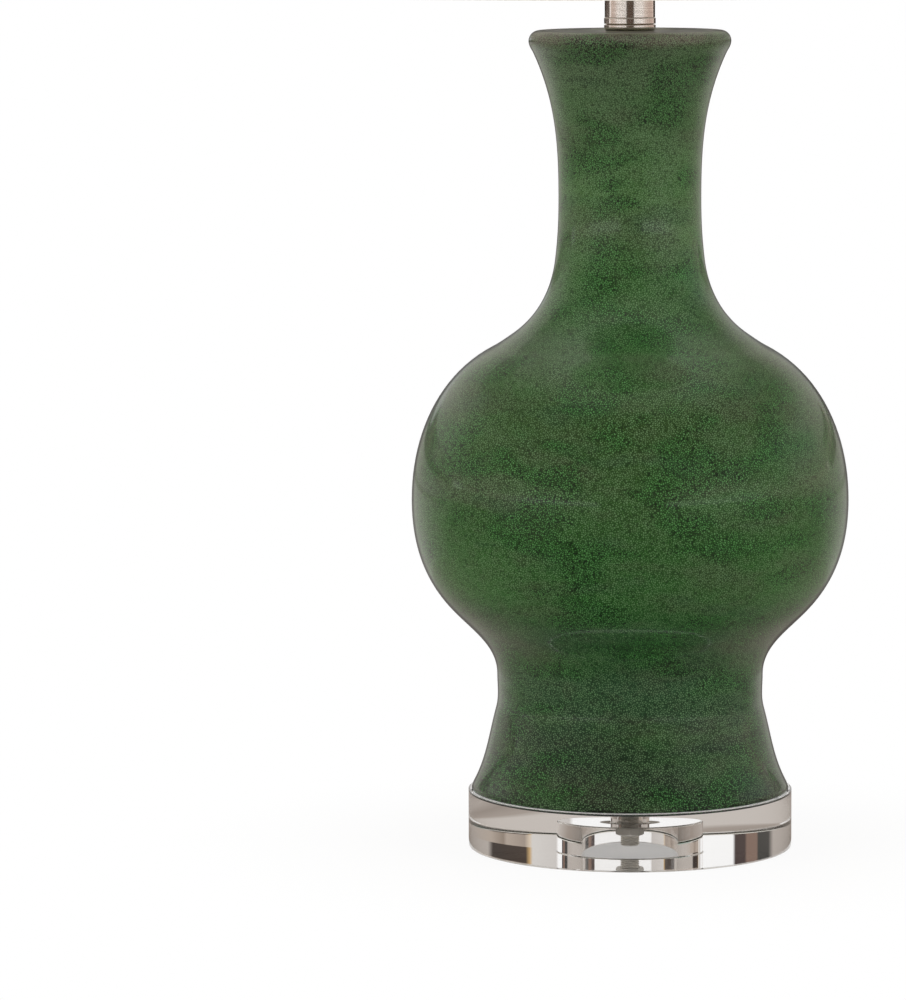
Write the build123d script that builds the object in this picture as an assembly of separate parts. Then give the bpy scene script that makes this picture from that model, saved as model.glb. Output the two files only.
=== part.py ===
from build123d import *
import os
from math import cos, hypot, radians, sin

# A ginger jar table lamp: glazed ceramic jar on a clear acrylic disc, nickel neck,
# turn-knob lampholder, harp, fabric drum shade and finial. Millimetres, +Z up, front
# towards -Y. The origin is the centre of the disc's underside, which the lamp stands on.

# ---- Fits shared by all pieces -------------------------------------------------------
SNUG = 0.05          # gap per side between two fixed round pieces, or round a turning shaft
LOOSE = 0.3          # gap between a moving piece and what it passes or rests on

# ---- Clear base disc -----------------------------------------------------------------
DISC_DIAMETER = 165.1
DISC_THICKNESS = 29.3
DISC_EDGE = 1.0              # rounded, polished rim
POCKET_DIAMETER = 49.8       # recess in the underside that takes the washers and the nut
POCKET_DEPTH = 16.0
ROD_HOLE_DIAMETER = 13.5

# ---- Threaded rod and the fastening under the disc -----------------------------------
ROD_DIAMETER = 9.7           # 1/8 in pipe thread
ROD_BORE = 6.5               # the cord's way up to the lampholder
ROD_TAIL = 5.6               # thread left bare below the nut
ROD_HEAD = 2.0               # thread that stands up inside the lampholder cap
CORD_WINDOW_LENGTH = 16.0    # slot in the rod where the cord turns out into the jar
CORD_WINDOW_WIDTH = 6.0
WASHER_DIAMETER = 20.5
WASHER_THICKNESS = 1.6
LOCK_WASHER_DIAMETER = 15.2
LOCK_WASHER_THICKNESS = 1.0
LOCK_WASHER_TEETH = 10
LOCK_TOOTH_GAP = 1.0
NUT_ACROSS_FLATS = 14.0
NUT_HEIGHT = 4.8

# ---- Jar: radii and heights above its foot at the places that shape it ---------------
JAR_HEIGHT = 386.4
JAR_WALL = 6.0
FOOT_RADIUS = 81.1
FOOT_ROUND = 1.2
WAIST_RADIUS = 67.7
WAIST_HEIGHT = 59.2
BELLY_RADIUS = 111.0
BELLY_HEIGHT = 148.7
NECK_RADIUS = 36.1
NECK_HEIGHT = 302.7
LIP_RADIUS = 51.1
LIP_ROUND = 5.3              # bullnose of the lip, from its widest line up to the flat top
JAR_TOP_HOLE = 16.0

# ---- Cord bushing in the back of the foot --------------------------------------------
CORD_HOLE_HEIGHT = 19.0
CORD_HOLE_DIAMETER = 11.0
CORD_HOLE_TILT = 20.0        # degrees up from level, square to the flared foot
BUSHING_FLANGE_DIAMETER = 17.0
BUSHING_FLANGE = 1.8
BUSHING_BORE = 7.0

# ---- Nickel neck ---------------------------------------------------------------------
RING_DIAMETER = 26.0
SEAT_RING_HEIGHT = 2.7
SEAT_RING_ROUND = 2.4
SEAM = 0.25                  # dark joint line between the two rings
CHECK_RING_HEIGHT = 3.35
SPIGOT_HEIGHT = 3.0          # the rings' spigots centre the tube
NECK_DIAMETER = 25.4
NECK_WALL = 1.0
NECK_LENGTH = 45.0
CAP_RING_DIAMETER = 28.0
CAP_RING_HEIGHT = 3.0

# ---- Harp saddle, bow, sliding sleeves and stud --------------------------------------
SADDLE_THICKNESS = 1.6
SADDLE_WIDTH = 12.7
SADDLE_BEND = 2.4
SHOULDER_HEIGHT = 5.0        # where the arm narrows and the sleeve stops
TAB_HEIGHT = 17.0
TAB_WIDTH = 3.8
HARP_WIRE = 3.2
HARP_SPREAD = 56.0           # between the two sleeves' axes
HARP_HEIGHT = 228.6          # from the saddle's floor to the shade's seat
HARP_WIDTH = 122.0           # between the wire's centres at the widest
HARP_LEG = 42.0              # upright run of each leg above the saddle's floor
HARP_WIDEST = 108.0          # height of the widest corner above the floor
HARP_LEG_BEND = 45.0
HARP_SIDE_BEND = 90.0
HARP_TOP_BEND = 38.0
HARP_TOP_RUN = 84.0          # between the top corners, before they are rounded
HARP_FOOT = 3.0              # the wire's ends stand this far above the saddle's floor
SLEEVE_WALL = 1.0
SLEEVE_LENGTH = 11.5
SLEEVE_TAPER = 0.5
STUD_DIAMETER = 6.2
STUD_LENGTH = 12.0
SEAT_DIAMETER = 15.0
SEAT_THICKNESS = 1.6
SWIVEL_DIAMETER = 9.5
SWIVEL_COVER = 1.0           # metal left above and below the wire in the swivel

# ---- Lampholder ----------------------------------------------------------------------
CAP_BUSH_DIAMETER = 14.0
CAP_BUSH_HEIGHT = 6.5
CAP_DIAMETER = 34.0
CAP_RIM = 5.5
CAP_WALL = 0.8
CAP_BEAD = 0.7               # rolled bead round the cap's mouth
SCREW_DIAMETER = 4.0
SCREW_HEAD_DIAMETER = 5.6
SCREW_HEAD = 2.2
SCREW_SLOT = 0.9
SHELL_WALL = 0.7
SHELL_LENGTH = 45.5          # from the foot of the cap's rim to the mouth
SHELL_CURL = 0.9             # inward curl of the shell's mouth
SHELL_BEAD = 0.6             # stiffening bead pressed out of the shell's wall
SHELL_BEAD_DROP = 9.0        # below the mouth
PAPER_WALL = 0.5
PAPER_INSET = 2.4            # paper liner stops this far below the shell's mouth
BODY_HEIGHT = 20.5
BODY_LIFT = 18.0             # body's underside above the lampholder's foot
BODY_FLAT = 11.5             # terminal faces, either side of the axis
THREAD_SHELL_RADIUS = 13.2   # inside of the E26 screw shell
THREAD_SHELL_WALL = 0.4
THREAD_SHELL_LENGTH = 20.5
CONTACT_HOLE = 10.0
CONTACT_WIDTH = 4.0
CONTACT_THICKNESS = 0.5
CONTACT_LENGTH = 8.0
CONTACT_RISE = 2.6           # the raised tip ends level with the body's top
TERMINAL_DIAMETER = 5.6
TERMINAL_HEAD = 1.8
TERMINAL_SHANK = 3.0

# ---- Turn knob of the rotary switch --------------------------------------------------
KNOB_LIFT = 28.0             # knob's axis above the lampholder's foot
KNOB_SHAFT = 4.0
KNOB_SHAFT_GRIP = 8.0        # length of shaft inside the body
KNOB_SLOT = 9.0
COLLAR_DIAMETER = 7.6
COLLAR_LENGTH = 5.0
PADDLE_WIDTH = 12.0
PADDLE_LENGTH = 10.0
PADDLE_THICKNESS = 3.6
PADDLE_ROUND = 1.2
GRIP_GROOVES = 3             # across each face of the paddle
GRIP_GROOVE = 0.4            # their depth
GRIP_PITCH = 2.4

# ---- Shade ---------------------------------------------------------------------------
SHADE_TOP_DIAMETER = 381.0
SHADE_BOTTOM_DIAMETER = 406.4
SHADE_HEIGHT = 279.4
SHADE_WALL = 1.0
SHADE_DROP = 12.7            # hub below the shade's top edge
TRIM_THICKNESS = 0.6
TRIM_HEIGHT = 9.0
RING_WIRE = 3.0
HUB_DIAMETER = 28.0
HUB_THICKNESS = 1.8
HUB_HOLE = 7.0
SHADE_ARMS = 3
ARM_WIRE = 2.6
ARM_BEND = 6.0

# ---- Finial --------------------------------------------------------------------------
FINIAL_FOOT_DIAMETER = 13.0
FINIAL_NECK_DIAMETER = 8.6
FINIAL_NECK_HEIGHT = 13.0
FINIAL_FOOT_HEIGHT = 2.5
FINIAL_FLARE = 0.5           # the neck's gain in radius where it meets the ball
FINIAL_BALL_DIAMETER = 22.0

# ---- Heights that follow from the sizes above ----------------------------------------
foot_z = DISC_THICKNESS
nut_top_z = POCKET_DEPTH - WASHER_THICKNESS - LOCK_WASHER_THICKNESS
rod_bottom_z = nut_top_z - NUT_HEIGHT - ROD_TAIL
jar_top_z = foot_z + JAR_HEIGHT
check_ring_z = jar_top_z + SEAT_RING_HEIGHT + SEAM
neck_z = check_ring_z + CHECK_RING_HEIGHT
cap_ring_z = neck_z + NECK_LENGTH
saddle_z = cap_ring_z + CAP_RING_HEIGHT
floor_z = saddle_z + SADDLE_THICKNESS           # lampholder's foot and harp's datum
cap_floor_z = floor_z + CAP_BUSH_HEIGHT + CAP_WALL
dome_radius = (CAP_DIAMETER - CAP_BUSH_DIAMETER) / 2
rim_z = floor_z + CAP_BUSH_HEIGHT + dome_radius
cap_top_z = rim_z + CAP_RIM
rod_top_z = cap_floor_z + ROD_HEAD
seat_z = floor_z + HARP_HEIGHT                  # what the shade's hub rests on
hub_z = seat_z + LOOSE
shade_top_z = hub_z + HUB_THICKNESS + SHADE_DROP
shade_bottom_z = shade_top_z - SHADE_HEIGHT

# ---- Radii that follow ---------------------------------------------------------------
rod_fit = ROD_DIAMETER / 2 + SNUG
shell_radius = CAP_DIAMETER / 2 - CAP_WALL - SNUG
paper_radius = shell_radius - SHELL_WALL - SNUG
body_radius = paper_radius - PAPER_WALL - LOOSE
shell_z = rim_z
body_z = floor_z + BODY_LIFT
thread_shell_z = body_z + BODY_HEIGHT
contact_z = thread_shell_z - CONTACT_RISE - CONTACT_THICKNESS
knob_z = floor_z + KNOB_LIFT
sleeve_x = HARP_SPREAD / 2
sleeve_z = floor_z + SHOULDER_HEIGHT + LOOSE


def upright_face(*edges):
    """Face in the XZ plane, where X is the radius, from edges that close on themselves."""
    return make_face(Wire(list(edges)))


def turned(*points):
    """Solid of revolution about Z of a polygon of (radius, height) points."""
    corners = [(radius, 0, height) for radius, height in points]
    return revolve(make_face(Polyline(*corners, close=True)), Axis.Z)


def rod_cylinder(radius, low, high):
    """Upright cylinder about the lamp's axis between two heights."""
    return Pos(0, 0, low) * Cylinder(radius, high - low, align=(Align.CENTER, Align.CENTER, Align.MIN))


def tube(outer, inner, low, high):
    """Upright tube about the lamp's axis."""
    return rod_cylinder(outer, low, high) - rod_cylinder(inner, low, high)


# ---- Base ----------------------------------------------------------------------------

def make_base_disc():
    """Clear disc with its rims rounded, a pocket below and a hole for the rod."""
    disc = rod_cylinder(DISC_DIAMETER / 2, 0, DISC_THICKNESS)
    disc = fillet(disc.edges().filter_by(GeomType.CIRCLE), DISC_EDGE)
    disc -= rod_cylinder(POCKET_DIAMETER / 2, 0, POCKET_DEPTH)
    return disc - rod_cylinder(ROD_HOLE_DIAMETER / 2, 0, DISC_THICKNESS)


def make_rod():
    """Hollow threaded rod with a slot at the back, level with the cord hole in the jar."""
    rod = tube(ROD_DIAMETER / 2, ROD_BORE / 2, rod_bottom_z, rod_top_z)
    backwards = (Align.CENTER, Align.MIN, Align.CENTER)
    window = Box(CORD_WINDOW_WIDTH, ROD_DIAMETER, CORD_WINDOW_LENGTH, align=backwards)
    return rod - Pos(0, 0, foot_z + CORD_HOLE_HEIGHT) * window


def make_washer():
    """Flat washer against the pocket's ceiling."""
    return tube(WASHER_DIAMETER / 2, rod_fit, POCKET_DEPTH - WASHER_THICKNESS, POCKET_DEPTH)


def make_lock_washer():
    """Lock washer whose inner teeth are parted by narrow gaps."""
    washer = tube(LOCK_WASHER_DIAMETER / 2, rod_fit, nut_top_z, nut_top_z + LOCK_WASHER_THICKNESS)
    depth = (rod_fit + LOCK_WASHER_DIAMETER / 2) / 2
    gap = Box(depth, LOCK_TOOTH_GAP, LOCK_WASHER_THICKNESS, align=(Align.MIN, Align.CENTER, Align.MIN))
    gap = Pos(0, 0, nut_top_z) * gap
    for index in range(LOCK_WASHER_TEETH):
        washer -= Rot(0, 0, index * 360 / LOCK_WASHER_TEETH) * gap
    return washer


def make_nut():
    """Hexagon nut, its corners turned off on the lower face."""
    flats = RegularPolygon(NUT_ACROSS_FLATS / 2, 6, major_radius=False)
    nut = Pos(0, 0, nut_top_z - NUT_HEIGHT) * extrude(flats, NUT_HEIGHT)
    low, high = nut_top_z - NUT_HEIGHT, nut_top_z
    corner = NUT_ACROSS_FLATS / 2 / cos(radians(30))
    turned_off = NUT_ACROSS_FLATS / 2
    cone = turned(
        (0, low), (turned_off, low), (corner + SNUG, low + NUT_HEIGHT / 4), (corner + SNUG, high), (0, high)
    )
    return (nut & cone) - rod_cylinder(rod_fit, low, high)


# ---- Jar -----------------------------------------------------------------------------

def station(lower, upper, rise, spread, lean):
    """Outline station at a share of the rise and of the change of radius between two others."""
    return (
        lower[0] + rise * (upper[0] - lower[0]),
        lower[1] + spread * (upper[1] - lower[1]),
        lean,
    )


def jar_stations():
    """(height above the foot, radius, lean outwards in degrees) from the foot to the lip."""
    foot = (FOOT_ROUND, FOOT_RADIUS, -30.0)
    waist = (WAIST_HEIGHT, WAIST_RADIUS, 0.0)
    belly = (BELLY_HEIGHT, BELLY_RADIUS, 0.0)
    neck = (NECK_HEIGHT, NECK_RADIUS, 0.0)
    lip = (JAR_HEIGHT - LIP_ROUND, LIP_RADIUS, 0.0)
    taper = station(foot, waist, 0.698, 0.948, -15.0)
    underside = station(waist, belly, 0.402, 0.575, 41.5)
    shoulder = station(belly, neck, 0.503, 0.547, -62.4)
    collar = station(belly, neck, 0.545, 0.681, -55.6)
    root = station(belly, neck, 0.792, 0.976, -7.0)
    mouth = station(neck, lip, 0.918, 0.827, 24.5)
    return [foot, taper, waist, underside, belly, shoulder, collar, root, neck, mouth, lip]


def inset(stations, depth):
    """The stations moved inwards, square to the wall."""
    return [
        (height + depth * sin(radians(lean)), radius - depth * cos(radians(lean)), lean)
        for height, radius, lean in stations
    ]


def flowing_curve(stations):
    """Bezier spans that meet at the stations without a corner, lowest first."""
    handle = 0.36            # of a span's length, near that of a circular arc
    spans = []
    for (h0, r0, a0), (h1, r1, a1) in zip(stations[:-1], stations[1:]):
        reach = handle * hypot(h1 - h0, r1 - r0)
        spans.append(Bezier(
            (r0, 0, foot_z + h0),
            (r0 + reach * sin(radians(a0)), 0, foot_z + h0 + reach * cos(radians(a0))),
            (r1 - reach * sin(radians(a1)), 0, foot_z + h1 - reach * cos(radians(a1))),
            (r1, 0, foot_z + h1),
        ))
    return spans


def make_jar_form():
    """The jar's outside as one filled form."""
    spans = flowing_curve(jar_stations())
    sole_radius = FOOT_RADIUS - FOOT_ROUND / 2
    sole = (sole_radius, 0, foot_z)
    rounding = TangentArc(spans[0] @ 0, sole, tangent=-(spans[0] % 0))
    top = (LIP_RADIUS - LIP_ROUND, 0, jar_top_z)
    bullnose = TangentArc(spans[-1] @ 1, top, tangent=spans[-1] % 1)
    cover = Polyline(top, (0, 0, jar_top_z), (0, 0, foot_z), sole)
    return revolve(upright_face(rounding, *spans, bullnose, *cover.edges()), Axis.Z)


def make_jar_hollow():
    """The space inside the jar, open at the foot."""
    spans = flowing_curve(inset(jar_stations()[:-1], JAR_WALL))
    low, high = spans[0] @ 0, spans[-1] @ 1
    sole = (low.X, 0, foot_z)
    cover = Polyline(high, (0, 0, high.Z), (0, 0, foot_z), sole, low)
    return revolve(upright_face(*spans, *cover.edges()), Axis.Z)


def cord_hole_axis():
    """Plane whose normal runs out along the cord hole, at the jar's outside."""
    centre_z = foot_z + CORD_HOLE_HEIGHT
    level_line = Line((0, 0, centre_z), (0, DISC_DIAMETER, centre_z))
    back = max(corner.Y for corner in (make_jar_form() & level_line).vertices())
    tilt = radians(CORD_HOLE_TILT)
    return Plane(origin=(0, back, centre_z), x_dir=(1, 0, 0), z_dir=(0, cos(tilt), sin(tilt)))


def make_jar():
    """Ceramic jar with an open foot, a hole in its top and the cord hole at the back."""
    jar = make_jar_form() - make_jar_hollow() - rod_cylinder(JAR_TOP_HOLE / 2, foot_z, jar_top_z)
    drill = Cylinder(CORD_HOLE_DIAMETER / 2 + SNUG, 4 * JAR_WALL)
    return jar - cord_hole_axis() * drill


def make_cord_bushing():
    """Flanged bushing: its flange follows the jar's outside and its barrel lines the hole."""
    flange = Cylinder(BUSHING_FLANGE_DIAMETER / 2, 2 * BUSHING_FLANGE)
    flange = fillet(flange.edges().group_by(Axis.Z)[-1], BUSHING_FLANGE / 3)
    flange = cord_hole_axis() * flange - make_jar_form()
    length = JAR_WALL + 2 * BUSHING_FLANGE
    barrel = Pos(0, 0, BUSHING_FLANGE / 2) * Cylinder(
        CORD_HOLE_DIAMETER / 2, length, align=(Align.CENTER, Align.CENTER, Align.MAX)
    )
    bore = Cylinder(BUSHING_BORE / 2, 4 * length)
    return flange + cord_hole_axis() * barrel - cord_hole_axis() * bore


# ---- Neck ----------------------------------------------------------------------------

def make_seat_ring():
    """Ring with a rounded underside, and a low boss that leaves the joint line above it."""
    ring = rod_cylinder(RING_DIAMETER / 2, jar_top_z, jar_top_z + SEAT_RING_HEIGHT)
    ring = fillet(ring.edges().filter_by(GeomType.CIRCLE).sort_by(Axis.Z)[0], SEAT_RING_ROUND)
    ring += rod_cylinder(RING_DIAMETER / 2 - SEAM * 4, jar_top_z, check_ring_z)
    return ring - rod_cylinder(rod_fit, jar_top_z, check_ring_z)


def make_check_ring():
    """Ring that carries the neck tube on its spigot."""
    ring = rod_cylinder(RING_DIAMETER / 2, check_ring_z, neck_z)
    ring += rod_cylinder(NECK_DIAMETER / 2 - NECK_WALL - SNUG, neck_z, neck_z + SPIGOT_HEIGHT)
    return ring - rod_cylinder(rod_fit, check_ring_z, neck_z + SPIGOT_HEIGHT)


def make_neck_tube():
    """Brushed tube over the rod."""
    return tube(NECK_DIAMETER / 2, NECK_DIAMETER / 2 - NECK_WALL, neck_z, cap_ring_z)


def make_cap_ring():
    """Ring that closes the tube and carries the saddle, its outer corners rounded."""
    ring = rod_cylinder(CAP_RING_DIAMETER / 2, cap_ring_z, saddle_z)
    ring = fillet(ring.edges().filter_by(GeomType.CIRCLE), CAP_RING_HEIGHT / 4)
    ring += rod_cylinder(NECK_DIAMETER / 2 - NECK_WALL - SNUG, cap_ring_z - SPIGOT_HEIGHT, cap_ring_z)
    return ring - rod_cylinder(rod_fit, cap_ring_z - SPIGOT_HEIGHT, saddle_z)


# ---- Harp ----------------------------------------------------------------------------
# In each sleeve the wire stands on the inner side and the saddle's tab on the outer side.
stack = HARP_WIRE + SNUG + SADDLE_THICKNESS
leg_x = sleeve_x - stack / 2 + HARP_WIRE / 2
tab_x = sleeve_x + stack / 2                    # outer face of the tab
sleeve_bore = hypot(stack, TAB_WIDTH) + 2 * LOOSE


def make_saddle():
    """Strip bent up at both ends into arms that narrow to tabs above a shoulder."""
    inner_x = tab_x - SADDLE_THICKNESS
    top = floor_z + TAB_HEIGHT
    outside = Polyline((-tab_x, 0, top), (-tab_x, 0, saddle_z), (tab_x, 0, saddle_z), (tab_x, 0, top))
    inside = Polyline((inner_x, 0, top), (inner_x, 0, floor_z), (-inner_x, 0, floor_z), (-inner_x, 0, top))
    ends = [Line(outside @ 1, inside @ 0), Line(inside @ 1, outside @ 0)]
    section = make_face(Wire([*outside.edges(), *inside.edges(), *ends]))
    strip = extrude(section, SADDLE_WIDTH / 2, dir=(0, 1, 0), both=True)
    bends = strip.edges().filter_by(Axis.Y)
    strip = fillet(bends.filter_by_position(Axis.Z, floor_z - SNUG, floor_z + SNUG), SADDLE_BEND)
    bends = strip.edges().filter_by(Axis.Y)
    outer_bends = bends.filter_by_position(Axis.Z, saddle_z - SNUG, saddle_z + SNUG)
    corners = [edge for edge in outer_bends if abs(abs(edge.center().X) - tab_x) < SNUG]
    strip = fillet(corners, SADDLE_BEND + SADDLE_THICKNESS)
    waste_depth = (SADDLE_WIDTH - TAB_WIDTH) / 2
    waste = Box(3 * tab_x, waste_depth, TAB_HEIGHT, align=(Align.CENTER, Align.MAX, Align.MIN))
    strip -= Pos(0, SADDLE_WIDTH / 2, floor_z + SHOULDER_HEIGHT) * waste
    strip -= Pos(0, -TAB_WIDTH / 2, floor_z + SHOULDER_HEIGHT) * waste
    return strip - rod_cylinder(rod_fit, saddle_z, floor_z)


def make_harp():
    """Wire bow: upright legs, slanting sides and a rounded top, one arc at each corner."""
    wire_z = seat_z - SEAT_THICKNESS - SWIVEL_COVER - HARP_WIRE / 2
    half = [
        (leg_x, 0, floor_z + HARP_FOOT),
        (leg_x, 0, floor_z + HARP_LEG),
        (HARP_WIDTH / 2, 0, floor_z + HARP_WIDEST),
        (HARP_TOP_RUN / 2, 0, wire_z),
    ]
    route = half + [(-x, y, z) for x, y, z in reversed(half)]
    bends = [HARP_LEG_BEND, HARP_SIDE_BEND, HARP_TOP_BEND]
    path = FilletPolyline(*route, radius=bends + bends[::-1])
    return sweep(Plane(origin=path @ 0, z_dir=path % 0) * Circle(HARP_WIRE / 2), path)


def make_harp_stud():
    """Swivel round the wire, the round seat above it and the stud for the finial."""
    wire_z = seat_z - SEAT_THICKNESS - SWIVEL_COVER - HARP_WIRE / 2
    swivel = rod_cylinder(SWIVEL_DIAMETER / 2, wire_z - HARP_WIRE / 2 - SWIVEL_COVER, seat_z)
    swivel += rod_cylinder(SEAT_DIAMETER / 2, seat_z - SEAT_THICKNESS, seat_z)
    stud = rod_cylinder(STUD_DIAMETER / 2, seat_z - SEAT_THICKNESS, seat_z + STUD_LENGTH)
    stud = chamfer(stud.edges().filter_by(GeomType.CIRCLE).sort_by(Axis.Z)[-1], STUD_DIAMETER / 10)
    eye = Pos(0, 0, wire_z) * Rot(0, 90, 0) * Cylinder(HARP_WIRE / 2 + SNUG, 2 * SEAT_DIAMETER)
    return swivel + stud - eye


def make_sleeve(side):
    """Sleeve that slides down over leg and tab, with a bead at its foot."""
    bore = sleeve_bore / 2
    outer = bore + SLEEVE_WALL
    bead = SLEEVE_WALL
    top = sleeve_z + SLEEVE_LENGTH
    form = turned(
        (bore, sleeve_z), (outer + SLEEVE_TAPER, sleeve_z), (outer + SLEEVE_TAPER, sleeve_z + bead),
        (outer, sleeve_z + 2 * bead), (outer - SLEEVE_TAPER, top), (bore, top),
    )
    return Pos(side * sleeve_x, 0, 0) * form


# ---- Lampholder ----------------------------------------------------------------------

def dome(radius, low, high):
    """Filled form with a flat foot of the bush's radius, a quarter-round wall and a straight rim."""
    foot = CAP_BUSH_DIAMETER / 2
    rim = foot + radius
    arc = TangentArc((foot, 0, low), (rim, 0, low + radius), tangent=(1, 0, 0))
    rest = Polyline((rim, 0, low + radius), (rim, 0, high), (0, 0, high), (0, 0, low), (foot, 0, low))
    return revolve(upright_face(arc, *rest.edges()), Axis.Z)


def set_screw_axis():
    """Plane that faces out at the back of the cap's bush, halfway up it."""
    return Plane(origin=(0, 0, floor_z + CAP_BUSH_HEIGHT / 2), x_dir=(1, 0, 0), z_dir=(0, 1, 0))


def make_socket_cap():
    """Domed cap with a threaded bush, a bead round its mouth and a hole for the set screw."""
    cap = rod_cylinder(CAP_BUSH_DIAMETER / 2, floor_z, cap_floor_z)
    cap += dome(dome_radius, floor_z + CAP_BUSH_HEIGHT, cap_top_z)
    cap += Pos(0, 0, cap_top_z - CAP_BEAD) * Torus(CAP_DIAMETER / 2, CAP_BEAD)
    cap -= dome(dome_radius - CAP_WALL, cap_floor_z, cap_top_z)
    cap -= rod_cylinder(rod_fit, floor_z, cap_top_z)
    hole = Cylinder(SCREW_DIAMETER / 2 + SNUG, CAP_DIAMETER, align=(Align.CENTER, Align.CENTER, Align.MIN))
    return cap - set_screw_axis() * hole


def make_set_screw():
    """Slotted screw that grips the rod through the bush."""
    reach = (CAP_BUSH_DIAMETER - ROD_DIAMETER) / 2 - 2 * SNUG
    up = (Align.CENTER, Align.CENTER, Align.MIN)
    start = ROD_DIAMETER / 2 + SNUG
    head_start = start + reach + LOOSE
    shank = Pos(0, 0, start) * Cylinder(SCREW_DIAMETER / 2, reach + LOOSE, align=up)
    head = Pos(0, 0, head_start) * Cylinder(SCREW_HEAD_DIAMETER / 2, SCREW_HEAD, align=up)
    groove = Box(SCREW_HEAD_DIAMETER, SCREW_SLOT, SCREW_HEAD, align=up)
    groove = Pos(0, 0, head_start + SCREW_HEAD / 2) * groove
    return set_screw_axis() * (shank + head - groove)


def knob_slot(outer):
    """Cutter for the switch's way out: a slot open downwards, rounded at the knob's axis."""
    front = (Align.CENTER, Align.MAX, Align.MAX)
    round_end = Pos(0, 0, knob_z) * Rot(90, 0, 0) * Cylinder(
        KNOB_SLOT / 2, outer, align=(Align.CENTER, Align.CENTER, Align.MIN)
    )
    return round_end + Pos(0, 0, knob_z) * Box(KNOB_SLOT, outer, SHELL_LENGTH, align=front)


def make_socket_shell():
    """Thin shell with its mouth curled in, a pressed bead and the switch's slot at the front."""
    top = shell_z + SHELL_LENGTH
    shell = rod_cylinder(shell_radius, shell_z, top)
    shell = fillet(shell.edges().filter_by(GeomType.CIRCLE).sort_by(Axis.Z)[-1], SHELL_WALL)
    shell -= rod_cylinder(shell_radius - SHELL_WALL, shell_z, top - SHELL_WALL)
    shell -= rod_cylinder(shell_radius - SHELL_WALL - SHELL_CURL, shell_z, top)
    bead = Pos(0, 0, top - SHELL_BEAD_DROP)
    shell += bead * Torus(shell_radius, SHELL_BEAD)
    shell -= bead * Torus(shell_radius - SHELL_WALL, SHELL_BEAD)
    return shell - knob_slot(CAP_DIAMETER)


def make_paper_liner():
    """Insulating liner between shell and body."""
    top = shell_z + SHELL_LENGTH - PAPER_INSET
    return tube(paper_radius, paper_radius - PAPER_WALL, shell_z, top) - knob_slot(CAP_DIAMETER)


def make_socket_body():
    """Moulded body with flats for the terminals, the shaft's bearing and the contact's recess."""
    body = rod_cylinder(body_radius, body_z, thread_shell_z)
    body -= rod_cylinder(CONTACT_HOLE / 2, contact_z, thread_shell_z)
    side = Box(body_radius, 2 * body_radius, BODY_HEIGHT / 2, align=(Align.MIN, Align.CENTER, Align.MIN))
    body -= Pos(BODY_FLAT, 0, body_z) * side
    body -= Rot(0, 0, 180) * Pos(BODY_FLAT, 0, 0) * Pos(0, 0, body_z) * side
    bearing = Pos(0, -body_radius, knob_z) * Rot(90, 0, 0) * Cylinder(
        KNOB_SHAFT / 2 + SNUG, 2 * (KNOB_SHAFT_GRIP + LOOSE)
    )
    return body - bearing - terminal_pair(SNUG)


def terminal_pair(gap):
    """The two terminal screws, each grown by a gap."""
    out = (Align.CENTER, Align.CENTER, Align.MIN)
    shank = Pos(0, 0, BODY_FLAT - 2 * TERMINAL_SHANK) * Cylinder(
        TERMINAL_SHANK / 2 + gap, 2 * TERMINAL_SHANK, align=out
    )
    head = Pos(0, 0, BODY_FLAT) * Cylinder(TERMINAL_DIAMETER / 2 + gap, TERMINAL_HEAD, align=out)
    one = Pos(0, 0, body_z + BODY_HEIGHT / 4) * Rot(0, 90, 0) * (shank + head)
    return one + Rot(0, 0, 180) * one


def make_thread_shell():
    """Screw shell that the bulb turns into, with a floor round the centre contact."""
    outer = THREAD_SHELL_RADIUS + THREAD_SHELL_WALL
    floor_top = thread_shell_z + THREAD_SHELL_WALL
    top = thread_shell_z + THREAD_SHELL_LENGTH
    shell = tube(outer, THREAD_SHELL_RADIUS, floor_top, top)
    return shell + tube(outer, CONTACT_HOLE / 2, thread_shell_z, floor_top)


def make_centre_contact():
    """Springy tongue: flat on the recess's floor at one end, raised under the bulb's tip."""
    half = CONTACT_LENGTH / 2
    flat_end = -half + CONTACT_LENGTH / 4
    low, rise, thick = contact_z, CONTACT_RISE, CONTACT_THICKNESS
    underside = [(-half, 0, low), (flat_end, 0, low), (0, 0, low + rise), (half, 0, low + rise - thick)]
    upper_side = [
        (half, 0, low + rise), (0, 0, low + rise + thick), (flat_end - thick / 2, 0, low + thick),
        (-half, 0, low + thick),
    ]
    outline = make_face(Polyline(*underside, *upper_side, close=True))
    return extrude(outline, CONTACT_WIDTH / 2, dir=(0, 1, 0), both=True)


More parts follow.
